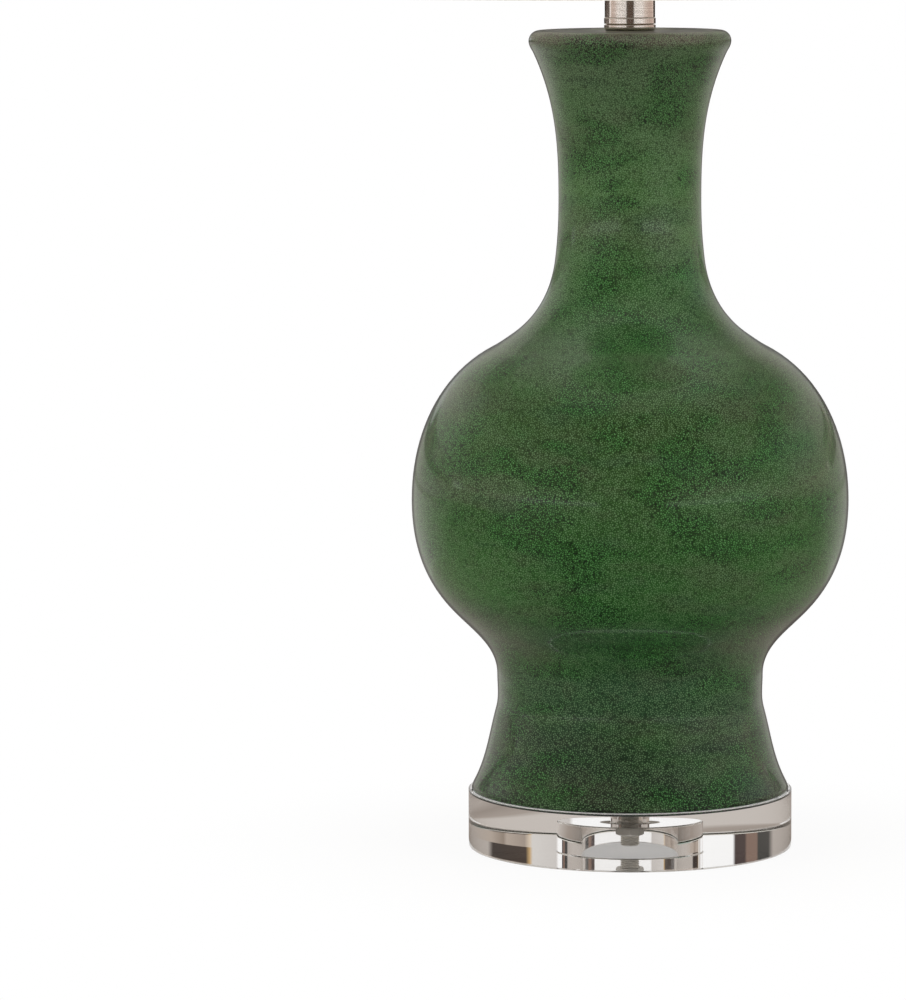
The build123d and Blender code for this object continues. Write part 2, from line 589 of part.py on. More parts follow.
def make_switch_knob():
    """Shaft, round collar and grooved paddle of the turn knob, pointing to the front."""
    out = (Align.CENTER, Align.CENTER, Align.MIN)
    collar_start = shell_radius + LOOSE * 2
    shaft_start = body_radius - KNOB_SHAFT_GRIP
    shaft = Pos(0, 0, shaft_start) * Cylinder(KNOB_SHAFT / 2, collar_start - shaft_start, align=out)
    collar = Pos(0, 0, collar_start) * Cylinder(COLLAR_DIAMETER / 2, COLLAR_LENGTH, align=out)
    blade = Box(PADDLE_WIDTH, PADDLE_THICKNESS, PADDLE_LENGTH, align=out)
    blade = fillet(blade.edges().filter_by(Axis.Y).group_by(Axis.Z)[-1], PADDLE_WIDTH / 3)
    blade = fillet(blade.edges().group_by(Axis.Y)[0] + blade.edges().group_by(Axis.Y)[-1], PADDLE_ROUND)
    groove = Rot(0, 90, 0) * Cylinder(GRIP_GROOVE, PADDLE_WIDTH)
    for face in (-PADDLE_THICKNESS / 2, PADDLE_THICKNESS / 2):
        for step in range(GRIP_GROOVES):
            blade -= Pos(0, face, PADDLE_LENGTH / 2 + (step - (GRIP_GROOVES - 1) / 2) * GRIP_PITCH) * groove
    paddle = Pos(0, 0, collar_start + COLLAR_LENGTH) * blade
    facing = Plane(origin=(0, 0, knob_z), x_dir=(0, 0, 1), z_dir=(0, -1, 0))
    return facing * (shaft + collar + paddle)


# ---- Shade ---------------------------------------------------------------------------

def shade_radius(height):
    """Outside radius of the fabric at a height."""
    share = (height - shade_bottom_z) / SHADE_HEIGHT
    return (SHADE_BOTTOM_DIAMETER + share * (SHADE_TOP_DIAMETER - SHADE_BOTTOM_DIAMETER)) / 2


def shade_band(low, high, outwards, inwards):
    """Conical band between two heights, from the fabric's outside outwards and inwards."""
    return turned(
        (shade_radius(low) + outwards, low), (shade_radius(high) + outwards, high),
        (shade_radius(high) - inwards, high), (shade_radius(low) - inwards, low),
    )


skin_low_z = shade_bottom_z + TRIM_THICKNESS
skin_high_z = shade_top_z - TRIM_THICKNESS
ring_inset = SHADE_WALL + TRIM_THICKNESS + RING_WIRE / 2 + SNUG
bottom_ring_z = skin_low_z + RING_WIRE
top_ring_z = skin_high_z - RING_WIRE


def make_shade_skin():
    """Stiff fabric drum."""
    return shade_band(skin_low_z, skin_high_z, 0, SHADE_WALL)


def make_trim(edge_z, inwards_z):
    """Tape folded over an edge of the fabric: edge_z is the edge, inwards_z where it ends."""
    low, high = min(edge_z, inwards_z), max(edge_z, inwards_z)
    band = shade_band(low, high, TRIM_THICKNESS, SHADE_WALL + TRIM_THICKNESS)
    return band - shade_band(skin_low_z, skin_high_z, 0, SHADE_WALL)


def ring(height):
    """Wire ring just inside the fabric and its trim."""
    major = shade_radius(height) - ring_inset
    return Pos(0, 0, height) * Torus(major, RING_WIRE / 2)


def make_hub():
    """Washer that sits on the harp's seat, under the finial."""
    return tube(HUB_DIAMETER / 2, HUB_HOLE / 2, hub_z, hub_z + HUB_THICKNESS)


def make_arms():
    """Wire arms, level with the hub's top face, that bend up to the top ring; both ends are coped."""
    arm_z = hub_z + HUB_THICKNESS - ARM_WIRE / 2
    arm_end = shade_radius(top_ring_z) - ring_inset
    rise = top_ring_z - arm_z
    path = FilletPolyline(
        (HUB_DIAMETER / 2 - ARM_WIRE, 0, arm_z), (arm_end - rise, 0, arm_z), (arm_end, 0, top_ring_z),
        radius=ARM_BEND,
    )
    arm = sweep(Plane(origin=path @ 0, z_dir=path % 0) * Circle(ARM_WIRE / 2), path)
    arm -= rod_cylinder(HUB_DIAMETER / 2, arm_z - ARM_WIRE, arm_z + ARM_WIRE)
    arm -= ring(top_ring_z)
    return Compound([Rot(0, 0, 90 + index * 360 / SHADE_ARMS) * arm for index in range(SHADE_ARMS)])


# ---- Finial --------------------------------------------------------------------------

def make_finial():
    """Ball on a waisted neck and a round foot, bored for the stud."""
    low = hub_z + HUB_THICKNESS + LOOSE
    neck_top = low + FINIAL_NECK_HEIGHT
    foot, neck, ball = FINIAL_FOOT_DIAMETER / 2, FINIAL_NECK_DIAMETER / 2, FINIAL_BALL_DIAMETER / 2
    foot_top = low + FINIAL_FOOT_HEIGHT
    flare = neck + FINIAL_FLARE
    waist = ThreePointArc((foot, 0, foot_top), (neck, 0, (foot_top + neck_top) / 2), (flare, 0, neck_top))
    rest = Polyline((flare, 0, neck_top), (0, 0, neck_top), (0, 0, low), (foot, 0, low), (foot, 0, foot_top))
    form = revolve(upright_face(waist, *rest.edges()), Axis.Z)
    sunk = ball - (ball ** 2 - neck ** 2) ** 0.5
    form += Pos(0, 0, neck_top + ball - sunk) * Sphere(ball)
    bore_top = seat_z + STUD_LENGTH + LOOSE
    return form - rod_cylinder(STUD_DIAMETER / 2 + SNUG, low, bore_top)


# ---- Writing the pieces --------------------------------------------------------------

def all_parts():
    """Every node's name and its shape."""
    return {
        "base_disc": make_base_disc(),
        "threaded_rod": make_rod(),
        "bottom_washer": make_washer(),
        "lock_washer": make_lock_washer(),
        "bottom_nut": make_nut(),
        "jar": make_jar(),
        "cord_bushing": make_cord_bushing(),
        "seat_ring": make_seat_ring(),
        "check_ring": make_check_ring(),
        "neck_tube": make_neck_tube(),
        "cap_ring": make_cap_ring(),
        "harp_saddle": make_saddle(),
        "harp_bow": make_harp(),
        "harp_stud": make_harp_stud(),
        "harp_sleeve_left": make_sleeve(-1),
        "harp_sleeve_right": make_sleeve(1),
        "socket_cap": make_socket_cap(),
        "socket_set_screw": make_set_screw(),
        "socket_shell": make_socket_shell(),
        "socket_paper_liner": make_paper_liner(),
        "socket_body": make_socket_body(),
        "socket_terminal_screws": terminal_pair(0),
        "socket_thread_shell": make_thread_shell(),
        "socket_centre_contact": make_centre_contact(),
        "switch_knob": make_switch_knob(),
        "shade_skin": make_shade_skin(),
        "shade_trim_bottom": make_trim(shade_bottom_z, shade_bottom_z + TRIM_HEIGHT),
        "shade_trim_top": make_trim(shade_top_z, shade_top_z - TRIM_HEIGHT),
        "shade_bottom_ring": ring(bottom_ring_z),
        "shade_top_ring": ring(top_ring_z),
        "shade_arms": make_arms(),
        "shade_hub": make_hub(),
        "finial": make_finial(),
    }


os.makedirs("parts", exist_ok=True)
for name, shape in all_parts().items():
    export_step(shape, f"parts/{name}.step")
print("shade bottom", round(shade_bottom_z, 2), "shade top", round(shade_top_z, 2))
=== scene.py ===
"""Looks of a ginger jar table lamp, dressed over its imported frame.

Sizes in this file are millimetres, and mm() turns them into Blender's metres. The axes are the
frame's own: +Z up the lamp, front towards -Y, origin at the centre of the disc's underside.
"""

import logging
import math
from dataclasses import dataclass
from enum import Enum

import bmesh
import bpy
import numpy as np
from mathutils import Matrix

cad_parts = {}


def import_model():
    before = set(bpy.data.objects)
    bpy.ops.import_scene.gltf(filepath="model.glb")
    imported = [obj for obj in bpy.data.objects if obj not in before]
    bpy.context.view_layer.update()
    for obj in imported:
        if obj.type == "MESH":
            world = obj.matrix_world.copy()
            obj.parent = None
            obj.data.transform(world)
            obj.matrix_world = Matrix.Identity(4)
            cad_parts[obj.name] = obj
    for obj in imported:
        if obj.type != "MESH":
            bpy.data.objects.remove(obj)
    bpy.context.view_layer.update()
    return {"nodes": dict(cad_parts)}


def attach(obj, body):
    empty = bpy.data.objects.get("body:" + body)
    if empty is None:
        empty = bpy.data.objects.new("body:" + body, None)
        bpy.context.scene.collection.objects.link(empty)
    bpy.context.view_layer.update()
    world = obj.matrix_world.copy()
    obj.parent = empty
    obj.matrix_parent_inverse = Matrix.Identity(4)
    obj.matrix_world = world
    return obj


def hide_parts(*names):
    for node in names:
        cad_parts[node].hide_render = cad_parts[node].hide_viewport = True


log = logging.getLogger("lamp")

MM = 0.001
PHOTO_LONG_SIDE = 1000          # pixels of the photograph's height
WHITE = (1.0, 1.0, 1.0, 1.0)
SMOOTH = {"interpolation_type": "SMOOTHSTEP"}       # makes a Map Range a smooth step

Nodes = dict[str, bpy.types.Object]         # the frame's pieces by name
Corners = list[tuple[float, float, float]]  # radius, height and rounding, in millimetres


def mm(length: float) -> float:
    """Turn millimetres into metres."""
    return length * MM


# ---- Colours and shader nodes --------------------------------------------------------

def linear(code: str) -> tuple[float, float, float, float]:
    """Turn an sRGB hex colour into linear RGBA.

    Args:
        code: six hex digits after a hash, such as "#36512a".

    Returns:
        Red, green and blue in linear light, and an alpha of 1. Each channel is
        c / 12.92 up to 0.04045, and ((c + 0.055) / 1.055) ** 2.4 above it.
    """
    values = [int(code[i:i + 2], 16) / 255 for i in (1, 3, 5)]
    curve = [c / 12.92 if c <= 0.04045 else ((c + 0.055) / 1.055) ** 2.4 for c in values]
    return (*curve, 1.0)


def emptied(owner: bpy.types.Material | bpy.types.World) -> bpy.types.NodeTree:
    """Turn on an owner's nodes and clear them away.

    Args:
        owner: a new material or world.

    Returns:
        Its node tree, with nothing in it.
    """
    owner.use_nodes = True
    owner.node_tree.nodes.clear()
    return owner.node_tree


def add(tree: bpy.types.NodeTree, kind: str, inputs: dict | None = None,
        **settings: object) -> bpy.types.Node:
    """Add one node with its settings, and give each input a value or a link.

    Args:
        tree: the node tree it goes into.
        kind: the node's type, without "ShaderNode".
        inputs: by the input's name or number, a value, another node's output socket, or
            another node, whose first output it takes.
        **settings: the node's own properties.

    Returns:
        The node.
    """
    node = tree.nodes.new("ShaderNode" + kind)
    for name, value in settings.items():
        setattr(node, name, value)
    for key, value in (inputs or {}).items():
        if isinstance(value, bpy.types.Node):
            value = value.outputs[0]
        if isinstance(value, bpy.types.NodeSocket):
            tree.links.new(value, node.inputs[key])
        else:
            node.inputs[key].default_value = value
    return node


def cloud(tree: bpy.types.NodeTree, pitch: tuple[float, float, float], detail: float = 2.0,
          seed: float = 0.0, rough: float = 0.5) -> bpy.types.Node:
    """Cloudy pattern fixed to the piece: noise(p / pitch + seed (1, 2, 3)).

    Args:
        tree: the node tree it goes into.
        pitch: millimetres from cloud to cloud along X, Y and Z.
        detail: octaves of finer noise on top.
        seed: moves the pattern elsewhere.
        rough: how much each finer octave counts.

    Returns:
        The noise, its value first and its colour second.
    """
    spot = add(tree, "Mapping", {
        "Vector": add(tree, "TexCoord").outputs["Object"], "Location": (seed, 2 * seed, 3 * seed),
        "Scale": [1 / mm(along) for along in pitch]})
    return add(tree, "TexNoise", {"Vector": spot, "Scale": 1.0, "Detail": detail,
                                  "Roughness": rough})


def cells(tree: bpy.types.NodeTree, pitch: float, warped: bool = False) -> bpy.types.Node:
    """Cracks of a pattern of cells: the distance from p / pitch to the wall between two cells.

    Args:
        tree: the node tree it goes into.
        pitch: millimetres from cell to cell.
        warped: whether p / pitch is first moved by noise(1.3 p / pitch), so that walls curve.

    Returns:
        The distance, 0 on the walls.
    """
    spot = add(tree, "Mapping", {"Vector": add(tree, "TexCoord").outputs["Object"],
                                 "Scale": (1 / mm(pitch),) * 3})
    if warped:
        shift = cloud(tree, (pitch / 1.3,) * 3).outputs["Color"]
        spot = add(tree, "VectorMath", {0: spot, 1: shift}, operation="ADD")
    return add(tree, "TexVoronoi", {"Vector": spot, "Scale": 1.0}, feature="DISTANCE_TO_EDGE")


def shown(tree: bpy.types.NodeTree) -> bpy.types.Node:
    """Tell the rays that show a thing from those that light matt surfaces by it.

    Args:
        tree: the node tree it goes into.

    Returns:
        1 for camera, mirror and glass rays, 0 for the others.
    """
    rays = add(tree, "LightPath").outputs
    through = add(tree, "Math", {0: rays["Is Glossy Ray"], 1: rays["Is Transmission Ray"]},
                  operation="MAXIMUM")
    return add(tree, "Math", {0: rays["Is Camera Ray"], 1: through}, operation="MAXIMUM")


# ---- Finishes ------------------------------------------------------------------------

@dataclass(frozen=True)
class Finish:
    """A material made of one Principled surface."""

    name: str = "finish"

    def build(self) -> bpy.types.Material:
        """Make the material.

        Returns:
            The new material, its surface fed by dress().
        """
        material = bpy.data.materials.new(self.name)
        tree = emptied(material)
        add(tree, "OutputMaterial", {"Surface": add(tree, "BsdfPrincipled", self.dress(tree))})
        return material

    def dress(self, tree: bpy.types.NodeTree) -> dict:
        """Give the surface's inputs by name: its own numbers, and the patterns that feed it."""
        raise NotImplementedError


@dataclass(frozen=True)
class Break:
    """Clouds in which a glaze breaks to another colour."""

    colour: str
    pitch: tuple[float, float, float]       # mm from cloud to cloud along X, Y and Z
    low: float
    high: float
    share: float = 1.0
    detail: float = 2.0
    seed: float = 0.0

    def mask(self, tree: bpy.types.NodeTree) -> bpy.types.Node:
        """Smooth step of the noise from 0 at low to share at high; low above high lets it fall."""
        noise = cloud(tree, self.pitch, self.detail, self.seed)
        return add(tree, "MapRange", {"Value": noise, "From Min": self.low, "From Max": self.high,
                                      "To Max": self.share}, **SMOOTH)


@dataclass(frozen=True)
class CrackleGlaze(Finish):
    """Crazed gloss glaze, dipped and fired over stoneware: a glassy coat over a green body.

    The bands make the green yellower on the neck and deeper under the belly, with brown breaks.
    Their near-black lowest bands are a painted contact shadow where the foot meets the disc, and
    their grey-brown top bands a painted reflection on the lip's top. A fine net of stained
    crazing covers it, and in patches curls and coarse cracks darken it too. The body is half dull
    under a thin clear coat, so that the net blurs reflections. Towards the silhouette a painted
    shade turns the body dark and takes away the coat and most of the shine.
    """

    name: str = "crackle_glaze"
    bands: tuple[tuple[float, str], ...] = (        # height in mm and colour
        # the near-black first three are a painted contact shadow at the foot
        (29, "#010201"), (31.6, "#040704"), (33, "#101a14"), (37, "#1b231a"), (58, "#112e17"),
        (90, "#27542d"), (112, "#0e4c19"), (140, "#2a6820"), (178, "#285915"), (225, "#33501c"),
        (265, "#1a500f"), (298, "#3f6d31"), (335, "#4f793e"), (380, "#557549"), (407, "#536949"),
        # the grey-brown last two are a painted reflection on the lip's top
        (411, "#756c5e"), (416, "#807567"),
    )
    breaks: tuple[Break, ...] = (                   # brown, leaf green, sea green, fine brown
        Break("#4b4839", (70, 70, 20), 0.48, 0.66, 0.4),
        Break("#2b6a1c", (45, 45, 14), 0.5, 0.68, 0.35, seed=7.0),
        Break("#22482f", (45, 45, 14), 0.45, 0.3, 0.35, seed=7.0),
        Break("#4b4839", (9, 9, 6), 0.5, 0.7, 0.2, detail=3.0, seed=5.0),
    )
    patches: Break = Break("#4c8146", (40, 40, 17), 0.48, 0.6, seed=3.0)    # with their flecks
    fleck: str = "#5f7d56"          # the net's cells outside the patches
    # dark of the stained cracks, and of the painted shade at the silhouette
    stain_and_shade: str = "#061805"
    net: float = 1.0                # mm across a cell, twice the real size, as two pixels show it
    net_middle: tuple[float, float] = (0.15, 0.24)  # from its wall to where a cell is pale
    net_line: tuple[float, float] = (0.14, 0.07)    # to where its stain fades in, and is full
    net_floor: float = 0.75         # the net's strength outside the patches
    curl: float = 2.0               # mm between fine curls, drawn twice the real size to show
    curl_line: tuple[float, float] = (0.03, 0.0)
    cell: float = 6.0               # mm across a coarse cell
    cell_line: tuple[float, float] = (0.05, 0.0)
    craze: float = 0.6              # the curls' and coarse cracks' strength inside the patches
    swell: float = 16.0             # mm between slow swellings of the wall
    edge: tuple[float, float] = (0.82, 0.9)         # painted silhouette shade starts, and is full
    roughness: float = 0.34
    ior: float = 1.5
    coat: float = 0.35
    coat_roughness: float = 0.05

    def dress(self, tree: bpy.types.NodeTree) -> dict:
        """Lay breaks, flecks, cracks and a painted silhouette shade over the bands; coat them.

        Args:
            tree: the material's node tree.

        Returns:
            The surface's inputs by name.
        """
        patch = self.patches.mask(tree)
        strength = add(tree, "MapRange", {"Value": patch, "To Min": self.net_floor})
        crazed = add(tree, "Math", {0: patch, 1: self.craze}, operation="MULTIPLY")
        net = cells(tree, self.net)
        flecks = add(tree, "MapRange", {
            "Value": net, "From Min": self.net_middle[0], "From Max": self.net_middle[1],
            "To Max": strength}, **SMOOTH)
        fleck = add(tree, "Mix", {0: patch, 6: linear(self.fleck), 7: linear(self.patches.colour)},
                    data_type="RGBA").outputs[2]
        curls = cloud(tree, (self.curl,) * 3, 0.0)
        curls = add(tree, "Math", {0: curls, 1: 0.5}, operation="SUBTRACT")
        curls = add(tree, "Math", {0: curls}, operation="ABSOLUTE")
        cracks = 0.0
        for distance, (wide, narrow), share in (
            (net, self.net_line, strength),
            (curls, self.curl_line, crazed),        # they run where a noise passes its middle
            (cells(tree, self.cell, warped=True), self.cell_line, crazed),
        ):
            crack = add(tree, "MapRange", {"Value": distance, "From Min": wide, "From Max": narrow,
                                           "To Max": share}, **SMOOTH)
            cracks = add(tree, "Math", {0: cracks, 1: crack}, operation="MAXIMUM")
        # painted shade: towards the silhouette the body turns to the stain colour
        facing = add(tree, "LayerWeight", {"Blend": 0.5}).outputs["Facing"]
        edge = add(tree, "MapRange", {"Value": facing, "From Min": self.edge[0],
                                      "From Max": self.edge[1]}, **SMOOTH)
        stain_and_shade = linear(self.stain_and_shade)
        layers = [(spot.mask(tree), linear(spot.colour)) for spot in self.breaks]
        body = self.bands_by_height(tree)
        for share, colour in (*layers, (flecks, fleck), (cracks, stain_and_shade), (edge, stain_and_shade)):
            body = add(tree, "Mix", {0: share, 6: body, 7: colour}, data_type="RGBA").outputs[2]
        wall = add(tree, "Bump", {"Height": cloud(tree, (self.swell,) * 3, 1.0), "Strength": 0.3,
                                  "Distance": mm(0.2)})
        # the painted shade also takes away the shine and the coat towards the silhouette
        gloss = add(tree, "MapRange", {"Value": edge, "To Min": 0.5, "To Max": 0.1})
        clear = add(tree, "MapRange", {"Value": edge, "To Min": self.coat, "To Max": 0.0})
        return {"Base Color": body, "Roughness": self.roughness, "IOR": self.ior, "Normal": wall,
                "Specular IOR Level": gloss, "Coat Weight": clear,
                "Coat Roughness": self.coat_roughness, "Coat Normal": wall}

    def bands_by_height(self, tree: bpy.types.NodeTree) -> bpy.types.Node:
        """Colour ramp over height, from the lowest band to the highest.

        Args:
            tree: the material's node tree.

        Returns:
            The ramp, its colour first.
        """
        low, high = self.bands[0][0], self.bands[-1][0]
        place = add(tree, "SeparateXYZ", {0: add(tree, "TexCoord").outputs["Object"]})
        share = add(tree, "MapRange", {"Value": place.outputs["Z"], "From Min": mm(low),
                                       "From Max": mm(high)})
        ramp = add(tree, "ValToRGB", {"Fac": share})
        stops = ramp.color_ramp.elements            # a new ramp has one at either end
        for level, _ in self.bands[1:-1]:
            stops.new((level - low) / (high - low))
        for stop, (_, colour) in zip(stops, self.bands):
            stop.color = linear(colour)
        return ramp


@dataclass(frozen=True)
class Grained(Finish):
    """Base of the finishes of one colour, which a grain turns to a second and lifts a little."""

    colour: str = "#ffffff"
    worn_colour: str = "#ffffff"
    roughness: float = 0.5
    metallic: float = 0.0
    pitch: tuple[float, float, float] = (1.0, 1.0, 1.0)     # mm of grain along X, Y and Z
    detail: float = 3.0
    rough_grain: float = 0.5        # how much each finer octave of it counts
    turn: tuple[float, float] = (0.5, 0.8)      # grain where the second colour starts, and is full
    dulling: float = 0.0            # roughness that the second colour adds
    tooth: float = 0.0              # mm; the relief's own grain, where it has one
    relief: float = 0.4
    depth: float = 0.03             # mm

    def dress(self, tree: bpy.types.NodeTree) -> dict:
        """Feed the colour, the shine and the relief from the grain.

        Args:
            tree: the material's node tree.

        Returns:
            The surface's inputs by name.
        """
        grain = cloud(tree, self.pitch, self.detail, rough=self.rough_grain)
        share = add(tree, "MapRange", {"Value": grain, "From Min": self.turn[0],
                                       "From Max": self.turn[1]}, **SMOOTH)
        body = add(tree, "Mix", {0: share, 6: linear(self.colour), 7: linear(self.worn_colour)},
                   data_type="RGBA")
        roughness = self.roughness
        if self.dulling:
            roughness = add(tree, "Math", {0: share, 1: self.dulling, 2: roughness},
                            operation="MULTIPLY_ADD")
        height = cloud(tree, (self.tooth,) * 3) if self.tooth else grain
        bump = add(tree, "Bump", {"Height": height, "Strength": self.relief,
                                  "Distance": mm(self.depth)})
        return {"Base Color": body.outputs[2], "Metallic": self.metallic, "Roughness": roughness,
                "Normal": bump}


@dataclass(frozen=True)
class Bisque(Grained):
    """Unglazed stoneware, fired matt, on the wiped foot and inside the jar: chalky and grainy."""

    name: str = "bisque_stoneware"
    colour: str = "#d8d2c4"
    worn_colour: str = "#c4bcab"
    roughness: float = 0.85
    pitch: tuple[float, float, float] = (0.6, 0.6, 0.6)
    turn: tuple[float, float] = (0.3, 0.8)
    relief: float = 0.3
    depth: float = 0.1


@dataclass(frozen=True)
class BrushedMetal(Grained):
    """Nickel turned and brushed on a lathe: lines round the axis draw reflections upright.

    The grain is long round the axis and short in Z. Real brushing is finer than its 0.22 mm,
    which is what a render can show.
    """

    name: str = "brushed_nickel"
    colour: str = "#efe7e0"
    worn_colour: str = "#c6bab0"
    roughness: float = 0.13
    metallic: float = 1.0
    pitch: tuple[float, float, float] = (30.0, 30.0, 0.22)
    detail: float = 4.0
    rough_grain: float = 0.7
    turn: tuple[float, float] = (0.35, 0.75)
    relief: float = 0.5
    depth: float = 0.012


@dataclass(frozen=True)
class PlatedMetal(Grained):
    """Pressed or drawn metal, barrel plated: a soft shine, faintly cloudy, with a fine tooth."""

    name: str = "plated_nickel"
    colour: str = "#c9c1b8"
    worn_colour: str = "#9c948b"
    roughness: float = 0.26
    metallic: float = 1.0
    pitch: tuple[float, float, float] = (9.0, 9.0, 9.0)
    detail: float = 4.0
    turn: tuple[float, float] = (0.42, 0.75)
    dulling: float = 0.12
    tooth: float = 0.35
    relief: float = 0.25
    depth: float = 0.02


@dataclass(frozen=True)
class Moulded(Grained):
    """Moulded or coated plastic, and paint: a slightly pebbled skin with lighter high spots."""

    name: str = "moulded_plastic"
    colour: str = "#1b1a19"
    worn_colour: str = "#2b2927"
    roughness: float = 0.4
    pitch: tuple[float, float, float] = (0.7, 0.7, 0.7)


@dataclass(frozen=True)
class CastAcrylic(Finish):
    """Cast acrylic, turned and flame polished: clear as water, with a trace of warm grey."""

    name: str = "cast_acrylic"
    tint: str = "#fdfcfb"
    roughness: float = 0.0
    ior: float = 1.49

    def dress(self, tree: bpy.types.NodeTree) -> dict:
        """All light goes through."""
        return {"Base Color": linear(self.tint), "Roughness": self.roughness, "IOR": self.ior,
                "Transmission Weight": 1.0}


@dataclass(frozen=True)
class Linen(Finish):
    """Plain-woven linen laminated on a stiff sheet: uneven threads over and under one another.

    Real threads stand 0.45 mm apart. They are drawn 0.9 mm apart, so that a render shows them.
    """

    name: str = "woven_linen"
    colour: str = "#efece4"
    shade_colour: str = "#dcd7cb"
    thread: float = 0.9             # mm
    slub: float = 100 / 3            # mm; the length over which a thread's thickness changes
    roughness: float = 0.9
    sheen: float = 0.15
    sheen_roughness: float = 0.4

    def dress(self, tree: bpy.types.NodeTree) -> dict:
        """Weave |sin(pi x / thread) sin(pi y / thread)| and slubs along both sets of threads.

        Args:
            tree: the material's node tree.

        Returns:
            The surface's inputs by name.
        """
        flat = add(tree, "UVMap")           # in millimetres on the cloth
        axes = add(tree, "SeparateXYZ", {0: flat}).outputs
        slubs, waves = [], []
        along, across = 1 / self.slub, 1 / self.thread
        for axis, scale in (("X", (along, across, 1.0)), ("Y", (across, along, 1.0))):
            run = add(tree, "Mapping", {"Vector": flat, "Scale": scale})
            slubs.append(add(tree, "TexNoise", {"Vector": run, "Scale": 1.0, "Detail": 2.0}))
            angle = add(tree, "Math", {0: axes[axis], 1: math.pi * across}, operation="MULTIPLY")
            waves.append(add(tree, "Math", {0: angle}, operation="SINE"))
        threads = add(tree, "Math", {0: slubs[0], 1: slubs[1]}, operation="ADD")
        weave = add(tree, "Math", {0: waves[0], 1: waves[1]}, operation="MULTIPLY")
        weave = add(tree, "Math", {0: weave}, operation="ABSOLUTE")
        relief = add(tree, "Math", {0: weave, 1: 0.5, 2: threads}, operation="MULTIPLY_ADD")
        share = add(tree, "MapRange", {"Value": threads, "From Min": 0.8, "From Max": 1.25},
                    **SMOOTH)
        body = add(tree, "Mix", {0: share, 6: linear(self.shade_colour), 7: linear(self.colour)},
                   data_type="RGBA")
        bump = add(tree, "Bump", {"Height": relief, "Strength": 0.6, "Distance": mm(0.12)})
        return {"Base Color": body.outputs[2], "Roughness": self.roughness, "Normal": bump,
                "Sheen Weight": self.sheen, "Sheen Roughness": self.sheen_roughness}


# ---- Surfaces worked out as whole arrays ---------------------------------------------

def full_turn(segments: int) -> np.ndarray:
    """Angles t_j = 2 pi j / segments."""
    return np.arange(segments) * (2 * np.pi / segments)


def polar(radius: np.ndarray | float, height: np.ndarray | float, turn: np.ndarray) -> np.ndarray:
    """Points (r cos t, r sin t, z) for radii, heights and angles that broadcast together."""
    across, along = radius * np.cos(turn), radius * np.sin(turn)
    return np.stack(np.broadcast_arrays(across, along, height), axis=-1)


def revolve(outline: np.ndarray, segments: int) -> np.ndarray:
    """Turn (n, 2) radii and heights, upwards on the outside, round Z: P[i, j] at r_i, z_i, t_j."""
    return polar(outline[:, :1], outline[:, 1:], full_turn(segments))


def surface(name: str, grid: np.ndarray, closed: bool,
            flat: np.ndarray | None = None) -> bpy.types.Object:
    """Mesh from a grid of points whose second direction closes on itself.

    Args:
        name: the piece's name.
        grid: (rows, columns, 3) points in millimetres.
        closed: whether the last row joins the first.
        flat: (rows, columns + 1, 2) texture places, one column more than the grid.

    Returns:
        A smooth-shaded object at the origin. Quad (i, j) joins P[i, j],
        P[i, j + 1], P[i + 1, j + 1] and P[i + 1, j], so it faces along d/dj x d/di.
    """
    rows, columns = grid.shape[:2]
    index = np.arange(rows * columns).reshape(rows, columns)
    low = index if closed else index[:-1]
    high = np.roll(index, -1, axis=0) if closed else index[1:]
    quads = np.stack([low, np.roll(low, -1, 1), np.roll(high, -1, 1), high], axis=-1)
    quads = quads.reshape(-1, 4)
    mesh = bpy.data.meshes.new(name)
    mesh.from_pydata((grid.reshape(-1, 3) * MM).tolist(), [], quads.tolist())
    if flat is not None:
        below = flat[:-1] if not closed else flat
        above = flat[1:] if not closed else np.roll(flat, -1, axis=0)
        corners = np.stack([below[:, :-1], below[:, 1:], above[:, 1:], above[:, :-1]], axis=2)
        mesh.uv_layers.new(name="UVMap").data.foreach_set("uv", corners.astype(np.float32).ravel())
    mesh.polygons.foreach_set("use_smooth", np.ones(len(quads), bool))
    piece = bpy.data.objects.new(name, mesh)
    bpy.context.scene.collection.objects.link(piece)
    return piece


def arc(centre: tuple[float, float], radius: float, start: float, end: float,
        steps: int) -> np.ndarray:
    """Points c + r (cos a, sin a) for angles a in degrees from start to end."""
    angle = np.radians(np.linspace(start, end, steps + 1))
    return np.array(centre) + radius * np.stack([np.cos(angle), np.sin(angle)], axis=-1)


def rounded(corners: Corners, steps: int = 6, closed: bool = True) -> np.ndarray:
    """Outline through corners, each rounded by an arc, with a close point on both sides of it.

    Args:
        corners: (radius, height, rounding) in millimetres, in order.
        steps: points along each quarter or so of rounding.
        closed: whether the last corner joins the first; if not, both ends stay sharp.

    Returns:
        (n, 2) radii and heights. For a corner P with unit directions u to the one before and v
        to the one after, and half angle h between them, the arc's ends lie at P + t u and
        P + t v with t = rounding / tan h, and its centre at P + (u + v) t / (1 + u.v).
    """
    points = np.array([corner[:2] for corner in corners], float)
    pieces = []
    for number, (radius, height, rounding) in enumerate(corners):
        end = not closed and number in (0, len(corners) - 1)
        if rounding <= 0 or end:
            pieces.append(points[number:number + 1])
            continue
        here = points[number]
        before, after = points[number - 1] - here, points[(number + 1) % len(corners)] - here
        u, v = before / np.linalg.norm(before), after / np.linalg.norm(after)
        half = math.acos(float(np.clip(u @ v, -1, 1))) / 2
        reach = rounding / math.tan(half)
        centre = here + (u + v) * reach / (1 + u @ v)
        spokes = np.stack([here + u * reach - centre, here + v * reach - centre])
        share = np.linspace(0, 1, steps + 1)[:, None]
        sweep = math.pi - 2 * half
        blend = np.sin((1 - share) * sweep) * spokes[0] + np.sin(share * sweep) * spokes[1]
        curve = centre + blend / math.sin(sweep)
        guard = rounding * 0.4
        pieces.append(np.vstack([here + u * (reach + guard), curve, here + v * (reach + guard)]))
    return np.vstack(pieces)


